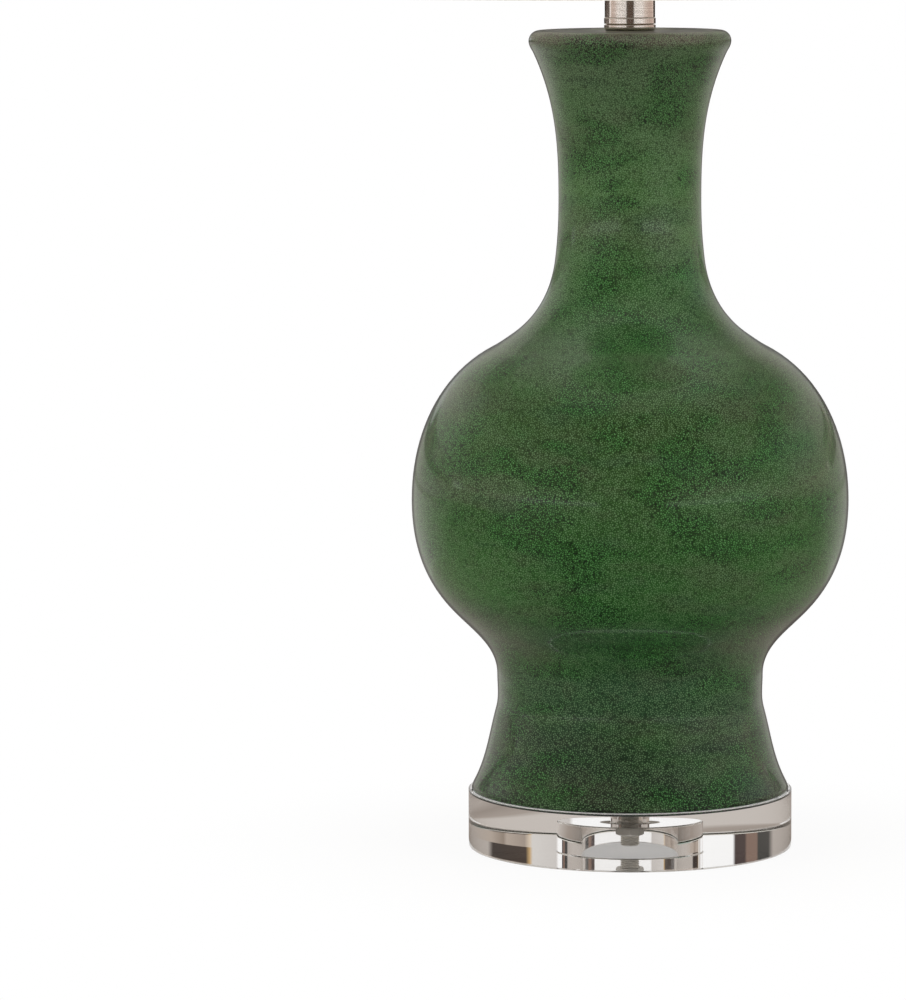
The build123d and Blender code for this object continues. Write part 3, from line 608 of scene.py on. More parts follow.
def bezier(ends: np.ndarray, steps: int) -> np.ndarray:
    """Cubic through four points: sum of C(3, k) (1 - t)^(3 - k) t^k P_k, without its last point."""
    t = np.linspace(0, 1, steps, endpoint=False)[:, None]
    return ((1 - t) ** 3 * ends[0] + 3 * (1 - t) ** 2 * t * ends[1]
            + 3 * (1 - t) * t ** 2 * ends[2] + t ** 3 * ends[3])


def cut(piece: bpy.types.Object, tool: bpy.types.Object) -> None:
    """Take a tool's volume out of a piece, and remove the tool.

    Args:
        piece: the object that is cut, whose mesh is replaced.
        tool: a closed mesh object.
    """
    step = piece.modifiers.new("cut", "BOOLEAN")
    step.operation = "DIFFERENCE"
    step.object = tool
    step.solver = "EXACT"
    graph = bpy.context.evaluated_depsgraph_get()
    result = bpy.data.meshes.new_from_object(piece.evaluated_get(graph))
    piece.modifiers.clear()
    old, piece.data = piece.data, result
    result.name = old.name
    bpy.data.meshes.remove(old)
    bpy.data.objects.remove(tool)


def heal(piece: bpy.types.Object) -> None:
    """Merge points that lie together, as at a pole.

    Args:
        piece: the object whose mesh is mended.
    """
    shape = bmesh.new()
    shape.from_mesh(piece.data)
    bmesh.ops.remove_doubles(shape, verts=shape.verts, dist=1e-7)
    shape.to_mesh(piece.data)
    shape.free()


class Body(Enum):
    """The frame's moving bodies."""

    LAMP = "lamp"
    KNOB = "switch_knob"
    SLEEVE_LEFT = "sleeve_left"
    SLEEVE_RIGHT = "sleeve_right"
    SHADE = "shade"
    FINIAL = "finial"


def fit(piece: bpy.types.Object, finish: bpy.types.Material, node: str, body: Body) -> None:
    """Finish a new piece and let it stand for its CAD node.

    Args:
        piece: the new object.
        finish: its material.
        node: the CAD node it replaces.
        body: the body it rides on.
    """
    piece.data.materials.clear()
    piece.data.materials.append(finish)
    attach(piece, body.value)
    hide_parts(node)
    log.info("%s: %d faces", piece.name, len(piece.data.polygons))


def line_inside(piece: bpy.types.Object, lining: bpy.types.Material, slack: float = 0.0,
                sole: float = -1.0) -> None:
    """Give a second finish to the faces that look towards Z, and to a sole.

    Args:
        piece: the object, with its first finish on.
        lining: the second finish.
        slack: how far under 0 a face's centre . normal, taken in X and Y, has to be, in metres.
        sole: faces under this height that look down are lined too.
    """
    faces = piece.data.polygons
    centre, normal = np.empty((2, len(faces) * 3), np.float32)
    faces.foreach_get("center", centre)
    faces.foreach_get("normal", normal)
    centre, normal = centre.reshape(-1, 3), normal.reshape(-1, 3)
    inwards = (centre[:, :2] * normal[:, :2]).sum(1) < -slack
    under = (centre[:, 2] < mm(sole)) & (normal[:, 2] < -0.9)
    piece.data.materials.append(lining)
    faces.foreach_set("material_index", (inwards | under).astype(np.int32))


def paint(nodes: Nodes, finish: bpy.types.Material, *names: str) -> None:
    """Finish pieces of the frame, which keep their own shape.

    Args:
        nodes: the frame's pieces.
        finish: their material.
        *names: which of them.
    """
    for name in names:
        nodes[name].material_slots[0].material = finish
        log.info("%s: %s", name, finish.name)


# ---- Sub-assemblies ------------------------------------------------------------------

@dataclass
class Base:
    """Clear disc with the rod's lower end, the washers and the nut in its pocket."""

    radius: float = 82.55
    thickness: float = 29.3
    edge: float = 1.0
    top_edge: float = 0.15          # sharp, because the photograph shows no dark band there
    pocket_radius: float = 24.9
    pocket_depth: float = 16.0
    press: float = 0.02             # the washer bites this deep, so that no air lies above it
    hole_radius: float = 6.75
    rod_radius: float = 4.85
    rod_bore: float = 3.25
    rod_low: float = 3.0
    rod_high: float = 480.9
    thread_pitch: float = 0.94      # 27 threads to the inch
    thread_depth: float = 0.5
    thread_top: float = 31.0        # above this the rod is out of sight and left plain
    nut_low: float = 8.6
    nut_height: float = 4.8
    nut_flats: float = 14.0
    nut_face: float = 0.98          # the turned face's radius, as a share of half the flats
    nut_play: float = 0.1           # between its hole and the rod
    window_height: float = 48.3
    window_length: float = 16.0
    window_width: float = 6.0

    def build(self, nodes: Nodes, acrylic: CastAcrylic, zinc: PlatedMetal) -> None:
        """Make the disc, the rod and the nut, and finish the small fasteners.

        Args:
            nodes: the frame's pieces.
            acrylic: the disc's finish.
            zinc: the fasteners' finish.
        """
        fit(self.disc(), acrylic.build(), "base_disc", Body.LAMP)
        steel = zinc.build()
        fit(self.rod(), steel, "threaded_rod", Body.LAMP)
        fit(self.nut(), steel, "bottom_nut", Body.LAMP)
        paint(nodes, steel, "bottom_washer", "lock_washer", "socket_set_screw")

    def disc(self) -> bpy.types.Object:
        """The disc as one closed outline, turned round Z.

        Returns:
            The disc.
        """
        outline = rounded([
            (self.pocket_radius, 0, 0.4), (self.radius, 0, self.edge),
            (self.radius, self.thickness, self.top_edge), (self.hole_radius, self.thickness, 0.3),
            (self.hole_radius, self.pocket_depth - self.press, 0.3),
            (self.pocket_radius, self.pocket_depth - self.press, 0.8),
        ])
        return surface("acrylic_disc", revolve(outline, 256), closed=True)

    def nut(self) -> bpy.types.Object:
        """Hexagon nut, one corner to the front, turned off at both faces.

        The outside is r(t, z) = min(a / cos((t + 30) mod 60 - 30), c(z)), with a half the size
        across flats, t the angle in degrees, and c the radius that the turning leaves.

        Returns:
            The nut.
        """
        half, low, high = self.nut_flats / 2, self.nut_low, self.nut_low + self.nut_height
        corner, bevel = half / math.cos(math.radians(30)), self.nut_height / 5
        slope = np.linspace(0, 1, 7)[:, None]
        face, hole = half * self.nut_face, self.rod_radius + self.nut_play
        rise = np.array([(face, low)]) + slope * np.array([(corner - face, bevel)])
        fall = (rise * (1, -1) + (0, low + high))[::-1]
        limit = np.vstack([[(hole, low)], rise, fall, [(hole, high)]])
        grid = revolve(limit, 120)
        turn = np.degrees(np.arctan2(grid[..., 1], grid[..., 0]))
        hexagon = half / np.cos(np.radians((turn + 30) % 60 - 30))
        grid[..., :2] *= np.minimum(1, hexagon / limit[:, :1])[..., None]
        nut = surface("hex_nut", grid, closed=True)
        nut.data.set_sharp_from_angle(angle=math.radians(22))
        return nut

    def rod(self) -> bpy.types.Object:
        """Hollow rod with a helical thread where it shows.

        The outside is r(z, t) = R - depth (0.5 - 0.5 cos(2 pi z / pitch - t)) on its threaded
        stretch, with t the angle round the rod.

        Returns:
            The rod, with the window that lets the cord in cut through its back.
        """
        turn = full_turn(48)
        threaded = np.arange(self.rod_low + 0.4, self.thread_top, self.thread_pitch / 10)
        plain = np.linspace(self.thread_top + 1, self.rod_high, 90)
        heights = np.concatenate([[self.rod_low], threaded, plain])[:, None]
        depth = self.thread_depth * ((heights > self.rod_low) & (heights < self.thread_top))
        phase = 2 * np.pi * heights / self.thread_pitch - turn
        radius = self.rod_radius - depth * (0.5 - 0.5 * np.cos(phase))
        radius[0] -= self.thread_depth
        outside = polar(radius, heights, turn)
        inside = polar(self.rod_bore, np.array([[self.rod_high], [self.rod_low]]), turn)
        rod = surface("lamp_rod", np.concatenate([outside, inside]), closed=True)
        half, back, tall = self.window_width / 2, 2 * self.rod_radius, self.window_length / 2
        corners = np.array([(-half, 0), (half, 0), (half, back), (-half, back)])
        levels = np.array([self.window_height - tall, self.window_height + tall])
        box = np.concatenate([np.broadcast_to(corners, (2, 4, 2)),
                              np.broadcast_to(levels[:, None, None], (2, 4, 1))], axis=-1)
        sides = [(0, 3, 2, 1), (4, 5, 6, 7), (0, 1, 5, 4), (1, 2, 6, 5), (2, 3, 7, 6), (3, 0, 4, 7)]
        mesh = bpy.data.meshes.new("window")
        mesh.from_pydata((box.reshape(-1, 3) * MM).tolist(), [], sides)
        window = bpy.data.objects.new("window", mesh)
        bpy.context.scene.collection.objects.link(window)
        cut(rod, window)
        return rod


@dataclass
class Jar:
    """Slip-cast jar: the outline that part of the frame has, as one closed turned wall."""

    foot_z: float = 29.3
    height: float = 386.4
    wall: float = 6.0
    foot: tuple[float, float] = (1.2, 81.1)         # height above the foot, radius
    waist: tuple[float, float] = (59.2, 67.7)
    belly: tuple[float, float] = (148.7, 111.0)
    neck: tuple[float, float] = (302.7, 36.1)
    lip: tuple[float, float] = (381.1, 51.1)
    foot_round: float = 1.2
    lip_round: float = 5.3
    top_hole: float = 8.0
    handle: float = 0.36
    segments: int = 256
    cord_hole: float = 5.55
    cord_hole_centre: tuple[float, float] = (73.869, 48.3)      # Y and Z
    cord_hole_tilt: float = 20.0

    def stations(self) -> np.ndarray:
        """Stations up the outside, from the foot to the lip.

        Returns:
            (11, 3) heights above the foot, radii, and leans in degrees, outwards on the way up.
        """
        def between(low: tuple, high: tuple, rise: float, spread: float, lean: float) -> tuple:
            """Station at a share of the way up and of the way out from one to another."""
            return (low[0] + rise * (high[0] - low[0]), low[1] + spread * (high[1] - low[1]), lean)
        return np.array([
            (*self.foot, -30.0),
            between(self.foot, self.waist, 0.698, 0.948, -15.0),
            (*self.waist, 0.0),
            between(self.waist, self.belly, 0.402, 0.575, 41.5),
            (*self.belly, 0.0),
            between(self.belly, self.neck, 0.503, 0.547, -62.4),
            between(self.belly, self.neck, 0.545, 0.681, -55.6),
            between(self.belly, self.neck, 0.792, 0.976, -7.0),
            (*self.neck, 0.0),
            between(self.neck, self.lip, 0.918, 0.827, 24.5),
            (*self.lip, 0.0),
        ])

    def curve(self, stations: np.ndarray, steps: int) -> np.ndarray:
        """Cubic spans through the stations, each leaving and arriving along its lean.

        Args:
            stations: (n, 3) heights, radii and leans.
            steps: points along each span.

        Returns:
            (m, 2) radii and heights above the table.
        """
        height, radius, lean = stations.T
        along = np.stack([np.sin(np.radians(lean)), np.cos(np.radians(lean))], axis=-1)
        points = np.stack([radius, height + self.foot_z], axis=-1)
        reach = self.handle * np.linalg.norm(np.diff(points, axis=0), axis=1)[:, None]
        starts, stops = points[:-1] + reach * along[:-1], points[1:] - reach * along[1:]
        spans = np.stack([points[:-1], starts, stops, points[1:]], axis=1)
        return np.vstack([*(bezier(span, steps) for span in spans), points[-1:]])

    def outline(self) -> np.ndarray:
        """Closed outline: foot's rounding, outside, lip's bullnose, top, hole, inside, sole.

        Returns:
            (n, 2) radii and heights.
        """
        stations = self.stations()
        outside = self.curve(stations, 22)
        height, radius, lean = stations[:-1].T
        inner = np.stack([height + self.wall * np.sin(np.radians(lean)),
                          radius - self.wall * np.cos(np.radians(lean)), lean], axis=-1)
        inside = self.curve(inner, 8)[::-1]
        base, top, ceiling = self.foot_z, self.foot_z + self.height, inside[0, 1]
        shoulder, hole = self.lip[1] - self.lip_round, self.top_hole
        nose = arc((shoulder, base + self.lip[0]), self.lip_round, 0, 90, 12)[1:]
        lid = [(shoulder - 3, top), (hole + 1, top), (hole, top - 1), (hole, ceiling)]
        sole = [(inside[-1, 0], base), (self.foot[1] - self.foot_round * 1.4, base)]
        heel = arc((self.foot[1] - self.foot_round, base + self.foot[0]), self.foot_round,
                   -90, -30, 6)
        return np.vstack([heel, outside[1:], nose, lid, inside, sole])

    def build(self, glaze: CrackleGlaze, bisque: Bisque) -> None:
        """Make the jar with its cord hole.

        Args:
            glaze: the outside's finish.
            bisque: the finish inside and on the sole.
        """
        jar = surface("glazed_jar", revolve(self.outline(), self.segments), closed=True)
        reach = 2 * self.wall
        drill = revolve(np.array([(0, -reach), (self.cord_hole, -reach), (self.cord_hole, reach),
                                  (0, reach)]), 48)
        tilt = math.radians(self.cord_hole_tilt)
        x, y, z = np.moveaxis(drill, -1, 0)
        back, level = self.cord_hole_centre
        turned = np.stack([x, back + z * math.cos(tilt) - y * math.sin(tilt),
                           level + z * math.sin(tilt) + y * math.cos(tilt)], axis=-1)
        tool = surface("drill", turned, closed=False)
        heal(tool)
        cut(jar, tool)
        fit(jar, glaze.build(), "jar", Body.LAMP)
        line_inside(jar, bisque.build(), slack=1e-5, sole=self.foot_z + 0.1)


@dataclass
class Neck:
    """Seat ring, check ring, tube and cap ring, turned from nickel-plated brass."""

    top_of_jar: float = 415.7
    rod: float = 4.9
    ring: float = 13.0
    seat_height: float = 2.8
    seat_round: float = 1.3         # small, because the photograph shows a bright upper half
    seam: float = 0.45              # as wide as it needs to show
    check_height: float = 3.05
    tube: float = 12.7
    tube_wall: float = 1.0
    tube_length: float = 45.0
    cap: float = 14.0
    cap_height: float = 3.0
    spigot: float = 3.0             # how far the rings reach into the tube
    play: float = 0.05              # between them and the tube

    def build(self, metal: BrushedMetal) -> None:
        """Turn the four pieces.

        Args:
            metal: their finish.
        """
        nickel = metal.build()
        rod, ring, tube, cap, low = self.rod, self.ring, self.tube, self.cap, self.top_of_jar
        bore = tube - self.tube_wall
        boss, plug = ring - 1.0, bore - self.play
        seat_top = low + self.seat_height
        seam_top = seat_top + self.seam
        tube_low = seam_top + self.check_height
        tube_high = tube_low + self.tube_length
        cap_top = tube_high + self.cap_height
        reach, end = tube_low + self.spigot, tube_high - self.spigot
        outlines = {
            "seat_ring": [(rod, low, 0.2), (ring, low, self.seat_round), (ring, seat_top, 0.2),
                          (boss, seat_top, 0.0), (boss, seam_top, 0.0), (rod, seam_top, 0.2)],
            "check_ring": [(rod, seam_top, 0.2), (ring, seam_top, 0.25), (ring, tube_low, 0.25),
                           (plug, tube_low, 0.0), (plug, reach, 0.2), (rod, reach, 0.2)],
            "neck_tube": [(bore, tube_low, 0.1), (tube, tube_low, 0.25),
                          (tube, tube_high, 0.25), (bore, tube_high, 0.1)],
            "cap_ring": [(plug, end, 0.2), (plug, tube_high, 0.0), (cap, tube_high, 0.75),
                         (cap, cap_top, 0.75), (rod, cap_top, 0.2), (rod, end, 0.2)],
        }
        for node, corners in outlines.items():
            piece = surface("nickel_" + node, revolve(rounded(corners), 192), closed=True)
            fit(piece, nickel, node, Body.LAMP)


@dataclass
class Lampholder:
    """Turn-knob lampholder and harp: frame pieces with their finishes, and the rolled thread."""

    shell_low: float = 510.1
    shell_length: float = 20.5
    thread_pitch: float = 3.63      # 7 threads to the inch
    inner: float = 12.85
    wave: float = 0.35
    wall: float = 0.35
    fade: float = 2.0               # mm over which the thread dies out at either end
    contact_hole: float = 5.0

    def build(self, nodes: Nodes) -> None:
        """Finish the frame's pieces and roll the screw shell.

        Args:
            nodes: the frame's pieces.
        """
        groups = {
            PlatedMetal(): ("harp_saddle", "harp_bow", "harp_stud", "harp_sleeve_left",
                            "harp_sleeve_right", "socket_cap", "socket_shell"),
            Moulded("pressed_phenolic", roughness=0.45): ("socket_body",),
            Moulded("moulded_knob", roughness=0.2, depth=0.01): ("switch_knob",),
            Moulded("nylon_bushing", "#2a2a28", roughness=0.5): ("cord_bushing",),
            Moulded("fibre_paper", "#8a6d47", "#9c7f58", 0.8, pitch=(1.5,) * 3): (
                "socket_paper_liner",),
            PlatedMetal("stamped_brass", "#d9b871", "#a9853f", 0.3): (
                "socket_terminal_screws", "socket_centre_contact"),
        }
        for finish, names in groups.items():
            paint(nodes, finish.build(), *names)
        thread = PlatedMetal("rolled_aluminium", "#d6d6d6", "#b0b0b0", 0.3)
        fit(self.screw_shell(), thread.build(), "socket_thread_shell", Body.LAMP)

    def screw_shell(self) -> bpy.types.Object:
        """Rolled screw shell: r(z, t) = inner + wave cos(2 pi z / pitch - t), and a wall outside.

        Returns:
            The shell with its floor, which leaves room for the centre contact.
        """
        turn = full_turn(72)
        heights = np.linspace(0, self.shell_length, 90)[:, None]
        from_end = np.minimum(heights, self.shell_length - heights)
        wave = self.wave * np.clip(from_end / self.fade, 0, 1)
        radius = self.inner + wave * np.cos(2 * np.pi * heights / self.thread_pitch - turn)
        low = self.shell_low
        outside, inside = (polar(radius + wall, low + heights, turn) for wall in (self.wall, 0.0))
        floor = revolve(np.array([(self.inner, low + self.wall),
                                  (self.contact_hole, low + self.wall),
                                  (self.contact_hole, low)]), len(turn))
        shell = np.concatenate([outside, inside[:0:-1], floor])
        return surface("rolled_screw_shell", shell, closed=True)


@dataclass
class Shade:
    """Hardback drum: linen outside, white lining inside, tape on both edges, wire frame."""

    bottom: float = 203.2
    top: float = 190.5
    low: float = 435.6
    height: float = 279.4
    wall: float = 1.0
    tape: float = 0.6
    tape_height: float = 9.0
    segments: int = 360

    def radius(self, height: float) -> float:
        """Outside radius of the cloth at a height."""
        return self.bottom + (height - self.low) / self.height * (self.top - self.bottom)

    def band(self, name: str, corners: Corners) -> bpy.types.Object:
        """Closed turned band with texture places in millimetres round and up the cloth.

        Args:
            name: the piece's name.
            corners: its outline.

        Returns:
            The band.
        """
        outline = rounded(corners, steps=3)
        grid = revolve(outline, self.segments)
        steps = np.linalg.norm(np.diff(outline, axis=0, prepend=outline[-1:]), axis=1)
        along = np.cumsum(steps)[:, None]
        round_about = np.linspace(0, 2 * np.pi * self.bottom, self.segments + 1)[None, :]
        flat = np.stack(np.broadcast_arrays(round_about, along), axis=-1)
        return surface(name, grid, closed=True, flat=flat)

    def build(self, nodes: Nodes) -> None:
        """Make cloth and tapes, and paint the wires.

        Args:
            nodes: the frame's pieces.
        """
        high = self.low + self.height
        low, top = self.low + self.tape, high - self.tape
        linen = Linen().build()
        cloth = self.band("linen_drum", [
            (self.radius(low) - self.wall, low, 0.0), (self.radius(low), low, 0.0),
            (self.radius(top), top, 0.0), (self.radius(top) - self.wall, top, 0.0)])
        fit(cloth, linen, "shade_skin", Body.SHADE)
        line_inside(cloth, Moulded("styrene_lining", "#f3f1ec", "#eceae4", 0.55).build())
        tape = Linen("folded_tape", "#f1eee7", thread=0.7).build()
        for node, edge, end in (("shade_trim_bottom", self.low, self.low + self.tape_height),
                                ("shade_trim_top", high, high - self.tape_height)):
            piece = self.band("tape_" + node.split("_")[-1], self.fold(edge, end))
            fit(piece, tape, node, Body.SHADE)
        wire = Moulded("powder_coat", "#ecebe6", "#dddbd3", 0.35).build()
        paint(nodes, wire, "shade_bottom_ring", "shade_top_ring", "shade_arms", "shade_hub")

    def fold(self, edge: float, end: float) -> Corners:
        """Corners of a tape folded over an edge of the cloth, upwards on the outside.

        Args:
            edge: height of the fold.
            end: height where the tape stops.

        Returns:
            Its outline.
        """
        inner = edge + math.copysign(self.tape, end - edge)
        out, wall, tape = self.radius, self.wall, self.tape
        loop = [
            (out(edge) - wall - tape, edge, 0.3), (out(edge) + tape, edge, 0.3),
            (out(end) + tape, end, 0.2), (out(end), end, 0.0),
            (out(inner), inner, 0.0), (out(inner) - wall, inner, 0.0),
            (out(end) - wall, end, 0.0), (out(end) - wall - tape, end, 0.2),
        ]
        return loop if end > edge else loop[::-1]


@dataclass
class Finial:
    """Ball on a waisted neck and a round foot, turned in one piece."""

    low: float = 702.6
    foot: float = 6.5
    foot_height: float = 2.5
    neck: float = 4.3
    neck_height: float = 13.0
    flare: float = 0.5
    ball: float = 11.0
    bore: float = 3.15
    bore_top: float = 712.5

    def build(self, metal: BrushedMetal) -> None:
        """One outline, its ball an arc from the neck to the pole.

        Args:
            metal: its finish.
        """
        neck_top = self.low + self.neck_height
        sunk = self.ball - math.sqrt(self.ball ** 2 - self.neck ** 2)
        centre = neck_top + self.ball - sunk
        start = -math.degrees(math.acos((self.neck + self.flare) / self.ball))
        share = np.linspace(0, 1, 20)[:, None]
        foot_top = self.low + self.foot_height
        ends = np.array([(self.foot, foot_top), (self.neck + self.flare, neck_top - 0.5)])
        waist = ends[0] + share * (ends[1] - ends[0])
        waist[:, 0] -= (np.sin(np.pi * share) * (self.foot - self.neck) * 0.45)[:, 0]
        foot = rounded([(self.bore, self.low, 0.0), (self.foot, self.low, 0.5),
                        (self.foot, foot_top, 0.5), (self.foot - 0.8, foot_top, 0.0)], closed=False)
        ball = arc((0, centre), self.ball, start, 90, 40)
        bore = np.array([(0, self.bore_top), (self.bore, self.bore_top)])
        outline = np.vstack([bore, foot, waist[1:], ball])
        piece = surface("ball_finial", revolve(outline, 128), closed=False)
        heal(piece)
        fit(piece, metal.build(), "finial", Body.FINIAL)


# ---- The studio ----------------------------------------------------------------------

@dataclass(frozen=True)
class Ring:
    """One band of the studio right round the lamp, which only reflections and refractions show.

    Bearings are degrees from straight behind the lamp, positive to the right, so the camera
    stands at 180. A ring runs from its near edge to its far edge, each a distance from the
    lamp's axis and a height in millimetres. Between two bearings its colour changes evenly.
    Its glow, from no lamp, is a painted reflection: dark tones paint a dark room, pale ones panels.
    """

    name: str
    near: tuple[float, float]
    far: tuple[float, float]
    tones: tuple[tuple[float, str], ...]
    strength: float = 1.0

    def build(self) -> None:
        """Make the ring as P(b, v) = (r(v) sin b, r(v) cos b, z(v)), glowing in its own colours."""
        marks = np.array([bearing for bearing, _ in self.tones], float)
        colours = np.array([linear(code) for _, code in self.tones])
        bearing = np.unique(np.concatenate([np.arange(-180.0, 180.0, 2.0), marks[marks < 180]]))
        angle = math.pi / 2 - np.radians(bearing)
        edges = np.stack([polar(away, level, angle) for away, level in (self.near, self.far)])
        ring = surface(self.name, edges, closed=False)
        tone = np.stack([np.interp(bearing, marks, channel, period=360) for channel in colours.T],
                        axis=-1)
        layer = ring.data.color_attributes.new("tone", "FLOAT_COLOR", "POINT")
        layer.data.foreach_set("color", np.tile(tone, (2, 1)).astype(np.float32).ravel())
        material = bpy.data.materials.new(self.name)
        tree = emptied(material)
        seen = add(tree, "Attribute", attribute_name="tone")
        glow = add(tree, "Emission", {"Color": seen, "Strength": self.strength})
        add(tree, "OutputMaterial", {"Surface": glow})
        ring.data.materials.append(material)
        ring.visible_camera = ring.visible_diffuse = ring.visible_shadow = False


ROOM = 3200.0       # mm from the lamp to the studio's walls
TABLE = 2500.0      # mm from the lamp to the table's edge

# painted reflections, like every ring's tones
PANELS = (          # the two middle walls from the left to the white sheet behind the lamp
    (-165, "#6b645c"), (-140, "#aaa39c"), (-100, "#aaa39c"), (-70, "#b9b1aa"), (-50, "#b9b1aa"),
    (-46, "#454442"), (-39, "#454442"), (-38, "#856f64"), (-33, "#856f64"), (-32, "#4e4341"),
    (-28, "#4e4341"), (-27, "#ffffff"), (-5, "#ffffff"), (0, "#d4cbc6"), (5, "#ffffff"),
    (13, "#ffffff"), (14, "#cdc8c4"), (25, "#d8d4d0"))
RIGHT_END = ((70, "#b9b1aa"), (100, "#aaa39c"), (140, "#aaa39c"), (165, "#6b645c"))

# Each ring's glow is a painted reflection of the studio round the lamp.
RINGS = (
    # table_near's warm greys paint the lamp's shadow on the table, which the disc shows
    Ring("table_near", (86, 0), (500, 0), (
        (-160, "#2c2926"), (-120, "#6b665f"), (-70, "#9c9188"), (-22, "#c9c2bc"), (2, "#c9c2bc"),
        (5, "#a79d95"), (12, "#978d85"), (22, "#b3aaa3"), (70, "#9c9188"), (120, "#5a554f"),
        (160, "#2c2926"))),
    Ring("table_far", (500, 0), (TABLE, 0), (
        (-150, "#3a3733"), (-95, "#6f6a63"), (-75, "#77716a"), (-73, "#16130f"), (-71, "#a39c94"),
        (-42, "#dedad4"), (-13, "#e6e2dc"), (-9, "#3a3631"), (9, "#3a3631"), (13, "#dcd8d2"),
        (42, "#cdc8c1"), (62, "#9a938b"), (64, "#16130f"), (66, "#77716a"), (95, "#6f6a63"),
        (150, "#3a3733"))),
    Ring("ground", (TABLE, 0), (ROOM, 0), (
        (-165, "#2a1710"), (-150, "#5a544d"), (-90, "#5a544d"), (-40, "#8d857c"), (-12, "#8d857c"),
        (-8, "#2a221d"), (8, "#2a221d"), (12, "#8d857c"), (40, "#8d857c"), (90, "#5a544d"),
        (150, "#5a544d"), (165, "#2a1710"))),
    Ring("skirting", (ROOM, 0), (ROOM, 290), (
        (-160, "#6b645c"), (-90, "#6b645c"), (-55, "#c9c2bb"), (-13, "#dedad4"), (-9, "#3a3631"),
        (9, "#3a3631"), (13, "#dedad4"), (55, "#b3aca4"), (90, "#6b645c"), (160, "#6b645c"))),
    Ring("wall_low", (ROOM, 290), (ROOM, 420), (
        (-172, "#3a2319"), (-166, "#160803"), (-163, "#ffffff"), (-125, "#ffffff"),
        (-105, "#d8cac3"), (-86, "#c8b8b0"), (-79, "#ffffff"), (-76, "#ffffff"), (-72, "#2b1c13"),
        (0, "#1c140f"), (46, "#2b1c13"), (49, "#f0e4de"), (53, "#b8a69d"), (80, "#b8a69d"),
        (105, "#dcd0c9"), (125, "#ffffff"), (160, "#ffffff"), (163, "#160803"),
        (172, "#3a2319")), 1.5),
    Ring("wall_under", (ROOM, 420), (ROOM, 562), (
        *PANELS, (26, "#d8c8b4"), (28, "#a3968b"), (36, "#b5a89c"), (38, "#94867a"),
        (46, "#b5a89c"), *RIGHT_END)),
    Ring("wall_middle", (ROOM, 562), (ROOM, 700), (
        *PANELS, (26, "#c8a878"), (27.5, "#4a403a"), (45, "#3b3431"), (49, "#b9b1aa"), *RIGHT_END)),
    Ring("wall_high", (ROOM, 700), (ROOM, 1600), (
        (-165, "#2a1710"), (-120, "#4b463f"), (-80, "#8f8880"), (-62, "#dcd8d0"), (-14, "#dcd8d0"),
        (-7, "#8d8478"), (7, "#8d8478"), (14, "#cfcac2"), (50, "#cfcac2"), (58, "#9fb0a6"),
        (85, "#9fb0a6"), (100, "#5f625c"), (130, "#4b463f"), (165, "#2a1710"))),
    Ring("wall_top", (ROOM, 1600), (ROOM, 2200), (
        (-165, "#2a2520"), (-110, "#56524c"), (-66, "#d0cac1"), (-24, "#d0cac1"), (24, "#b3aca3"),
        (66, "#9a938b"), (110, "#56524c"), (165, "#2a2520"))),
    Ring("ceiling", (ROOM, 2200), (10, 2200), (
        (-165, "#2f2d2a"), (-110, "#4b4843"), (-60, "#8d867e"), (-24, "#8f8880"), (24, "#7d766e"),
        (60, "#7d766e"), (110, "#4b4843"), (165, "#2f2d2a"))),
)


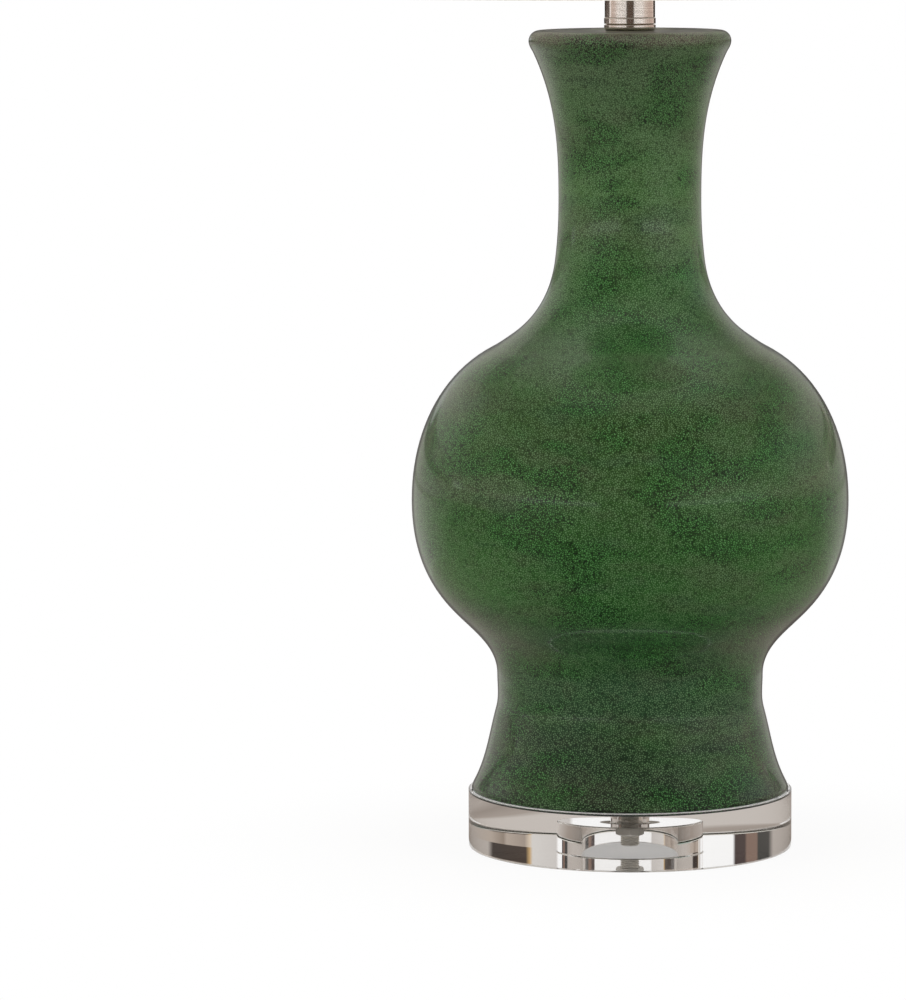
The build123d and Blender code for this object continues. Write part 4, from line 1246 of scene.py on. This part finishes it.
@dataclass
class Studio:
    """Camera at the photograph's place, a pale floor, soft lamps and a white surround.

    The photograph's own reflections show what stood round the lamp: a dark room behind the
    camera, wide white panels left and right, a white sheet low behind the lamp and a dim room
    round it. The world and the floor are white, and RINGS are the rest.
    """

    camera_place: tuple[float, float, float] = (0.0, -2850.0, 502.0)
    camera_down: float = 6.495          # degrees
    camera_left: float = 1.8093         # degrees
    focal_pixels: float = 5636.0        # on the photograph's long side
    sensor: float = 36.0
    floor_radius: float = 2500.0
    recess: float = 30.0                # under the disc's recess the floor lies in the dark
    recess_light: float = 0.4
    shadow_near: float = 90.0           # the lamp's shadow fades between these two distances
    shadow_far: float = 260.0
    shadow_light: float = 0.93
    fill: float = 0.62                  # the world's strength on matt surfaces
    aim_height: float = 250.0           # of the point on the lamp that the lamps face

    def build(self) -> None:
        """Set up the camera, the floor, the lamps, the world and the colour view."""
        self.camera()
        self.floor()
        self.lamps()
        self.world()
        for ring in RINGS:
            ring.build()
        bpy.context.scene.view_settings.view_transform = "Standard"

    def camera(self) -> None:
        """Long lens without shift that looks left of the lamp, rolled so that it stands upright."""
        data = bpy.data.cameras.new("camera")
        data.sensor_width = self.sensor
        data.lens = self.focal_pixels * self.sensor / PHOTO_LONG_SIDE
        data.clip_end = 20
        camera = bpy.data.objects.new("camera", data)
        down, left = math.radians(self.camera_down), math.radians(self.camera_left)
        turn = Matrix.Rotation(left, 4, "Z") @ Matrix.Rotation(math.pi / 2 - down, 4, "X")
        roll = Matrix.Rotation(-left * math.sin(down), 4, "Z")
        place = Matrix.Translation([mm(along) for along in self.camera_place])
        camera.matrix_world = place @ turn @ roll
        bpy.context.scene.collection.objects.link(camera)
        bpy.context.scene.camera = camera

    def floor(self) -> None:
        """Round white floor: white to the camera, apart from part of the lamp's shadow."""
        outline = np.array([(self.floor_radius, 0), (0, 0)], float)
        floor = surface("floor", revolve(outline, 96) - (0, 0, 0.05), closed=False)
        heal(floor)
        material = bpy.data.materials.new("floor_white")
        tree = emptied(material)
        matt = add(tree, "BsdfDiffuse", {"Color": linear("#e6e1dc")})
        glow = add(tree, "Emission", {"Color": WHITE, "Strength": 1.0})
        away = add(tree, "VectorMath", {0: add(tree, "TexCoord").outputs["Object"]},
                   operation="LENGTH").outputs["Value"]
        light = add(tree, "MapRange", {
            "Value": away, "From Min": mm(self.shadow_near), "From Max": mm(self.shadow_far),
            "To Min": self.shadow_light}, **SMOOTH)
        light = add(tree, "MapRange", {
            "Value": away, "From Min": mm(2 * self.recess), "From Max": mm(self.recess),
            "To Min": light, "To Max": self.recess_light}, **SMOOTH)
        share = add(tree, "Math", {0: shown(tree), 1: light}, operation="MULTIPLY")
        both = add(tree, "MixShader", {0: share, 1: matt, 2: glow})
        add(tree, "OutputMaterial", {"Surface": both})
        floor.data.materials.append(material)

    def lamps(self) -> None:
        """Two large side lamps and one overhead, seen only by what they light."""
        for name, place, size, power in (
            ("left_panel", (-1500, -900, 900), 1300, 15.0),
            ("right_panel", (1500, -900, 900), 1300, 15.0),
            ("top_panel", (0, -200, 1900), 1500, 11.0),
        ):
            data = bpy.data.lights.new(name, "AREA")
            data.shape = "SQUARE"
            data.size = mm(size)
            data.energy = power
            lamp = bpy.data.objects.new(name, data)
            lamp.location = [mm(along) for along in place]
            x, y, z = np.array((0, 0, self.aim_height)) - np.array(place)
            turn = math.atan2(y, x) - math.pi / 2
            lamp.rotation_euler = (math.atan2(math.hypot(x, y), -z), 0, turn)
            lamp.visible_glossy = lamp.visible_camera = lamp.visible_transmission = False
            bpy.context.scene.collection.objects.link(lamp)

    def world(self) -> None:
        """White to the camera, to metal and to glass, and an even dimmer fill to matt surfaces."""
        world = bpy.data.worlds.new("studio")
        bpy.context.scene.world = world
        tree = emptied(world)
        dim = (self.fill, self.fill, self.fill, 1.0)
        colour = add(tree, "Mix", {0: shown(tree), 6: dim, 7: WHITE}, data_type="RGBA").outputs[2]
        add(tree, "OutputWorld", {"Surface": add(tree, "Background", {"Color": colour})})


def main() -> None:
    """Load the frame, dress each sub-assembly and set up the studio."""
    logging.basicConfig(level=logging.INFO, format="%(name)s: %(message)s")
    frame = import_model()
    nodes = frame["nodes"]
    zinc = PlatedMetal("zinc_plated_steel", "#f0ede7", "#d2cfc8", 0.5)
    Studio().build()
    Base().build(nodes, CastAcrylic(), zinc)
    Jar().build(CrackleGlaze(), Bisque())
    Neck().build(BrushedMetal())
    Lampholder().build(nodes)
    Shade().build(nodes)
    Finial().build(BrushedMetal("brushed_nickel_finial"))


if __name__ == "__main__":
    main()
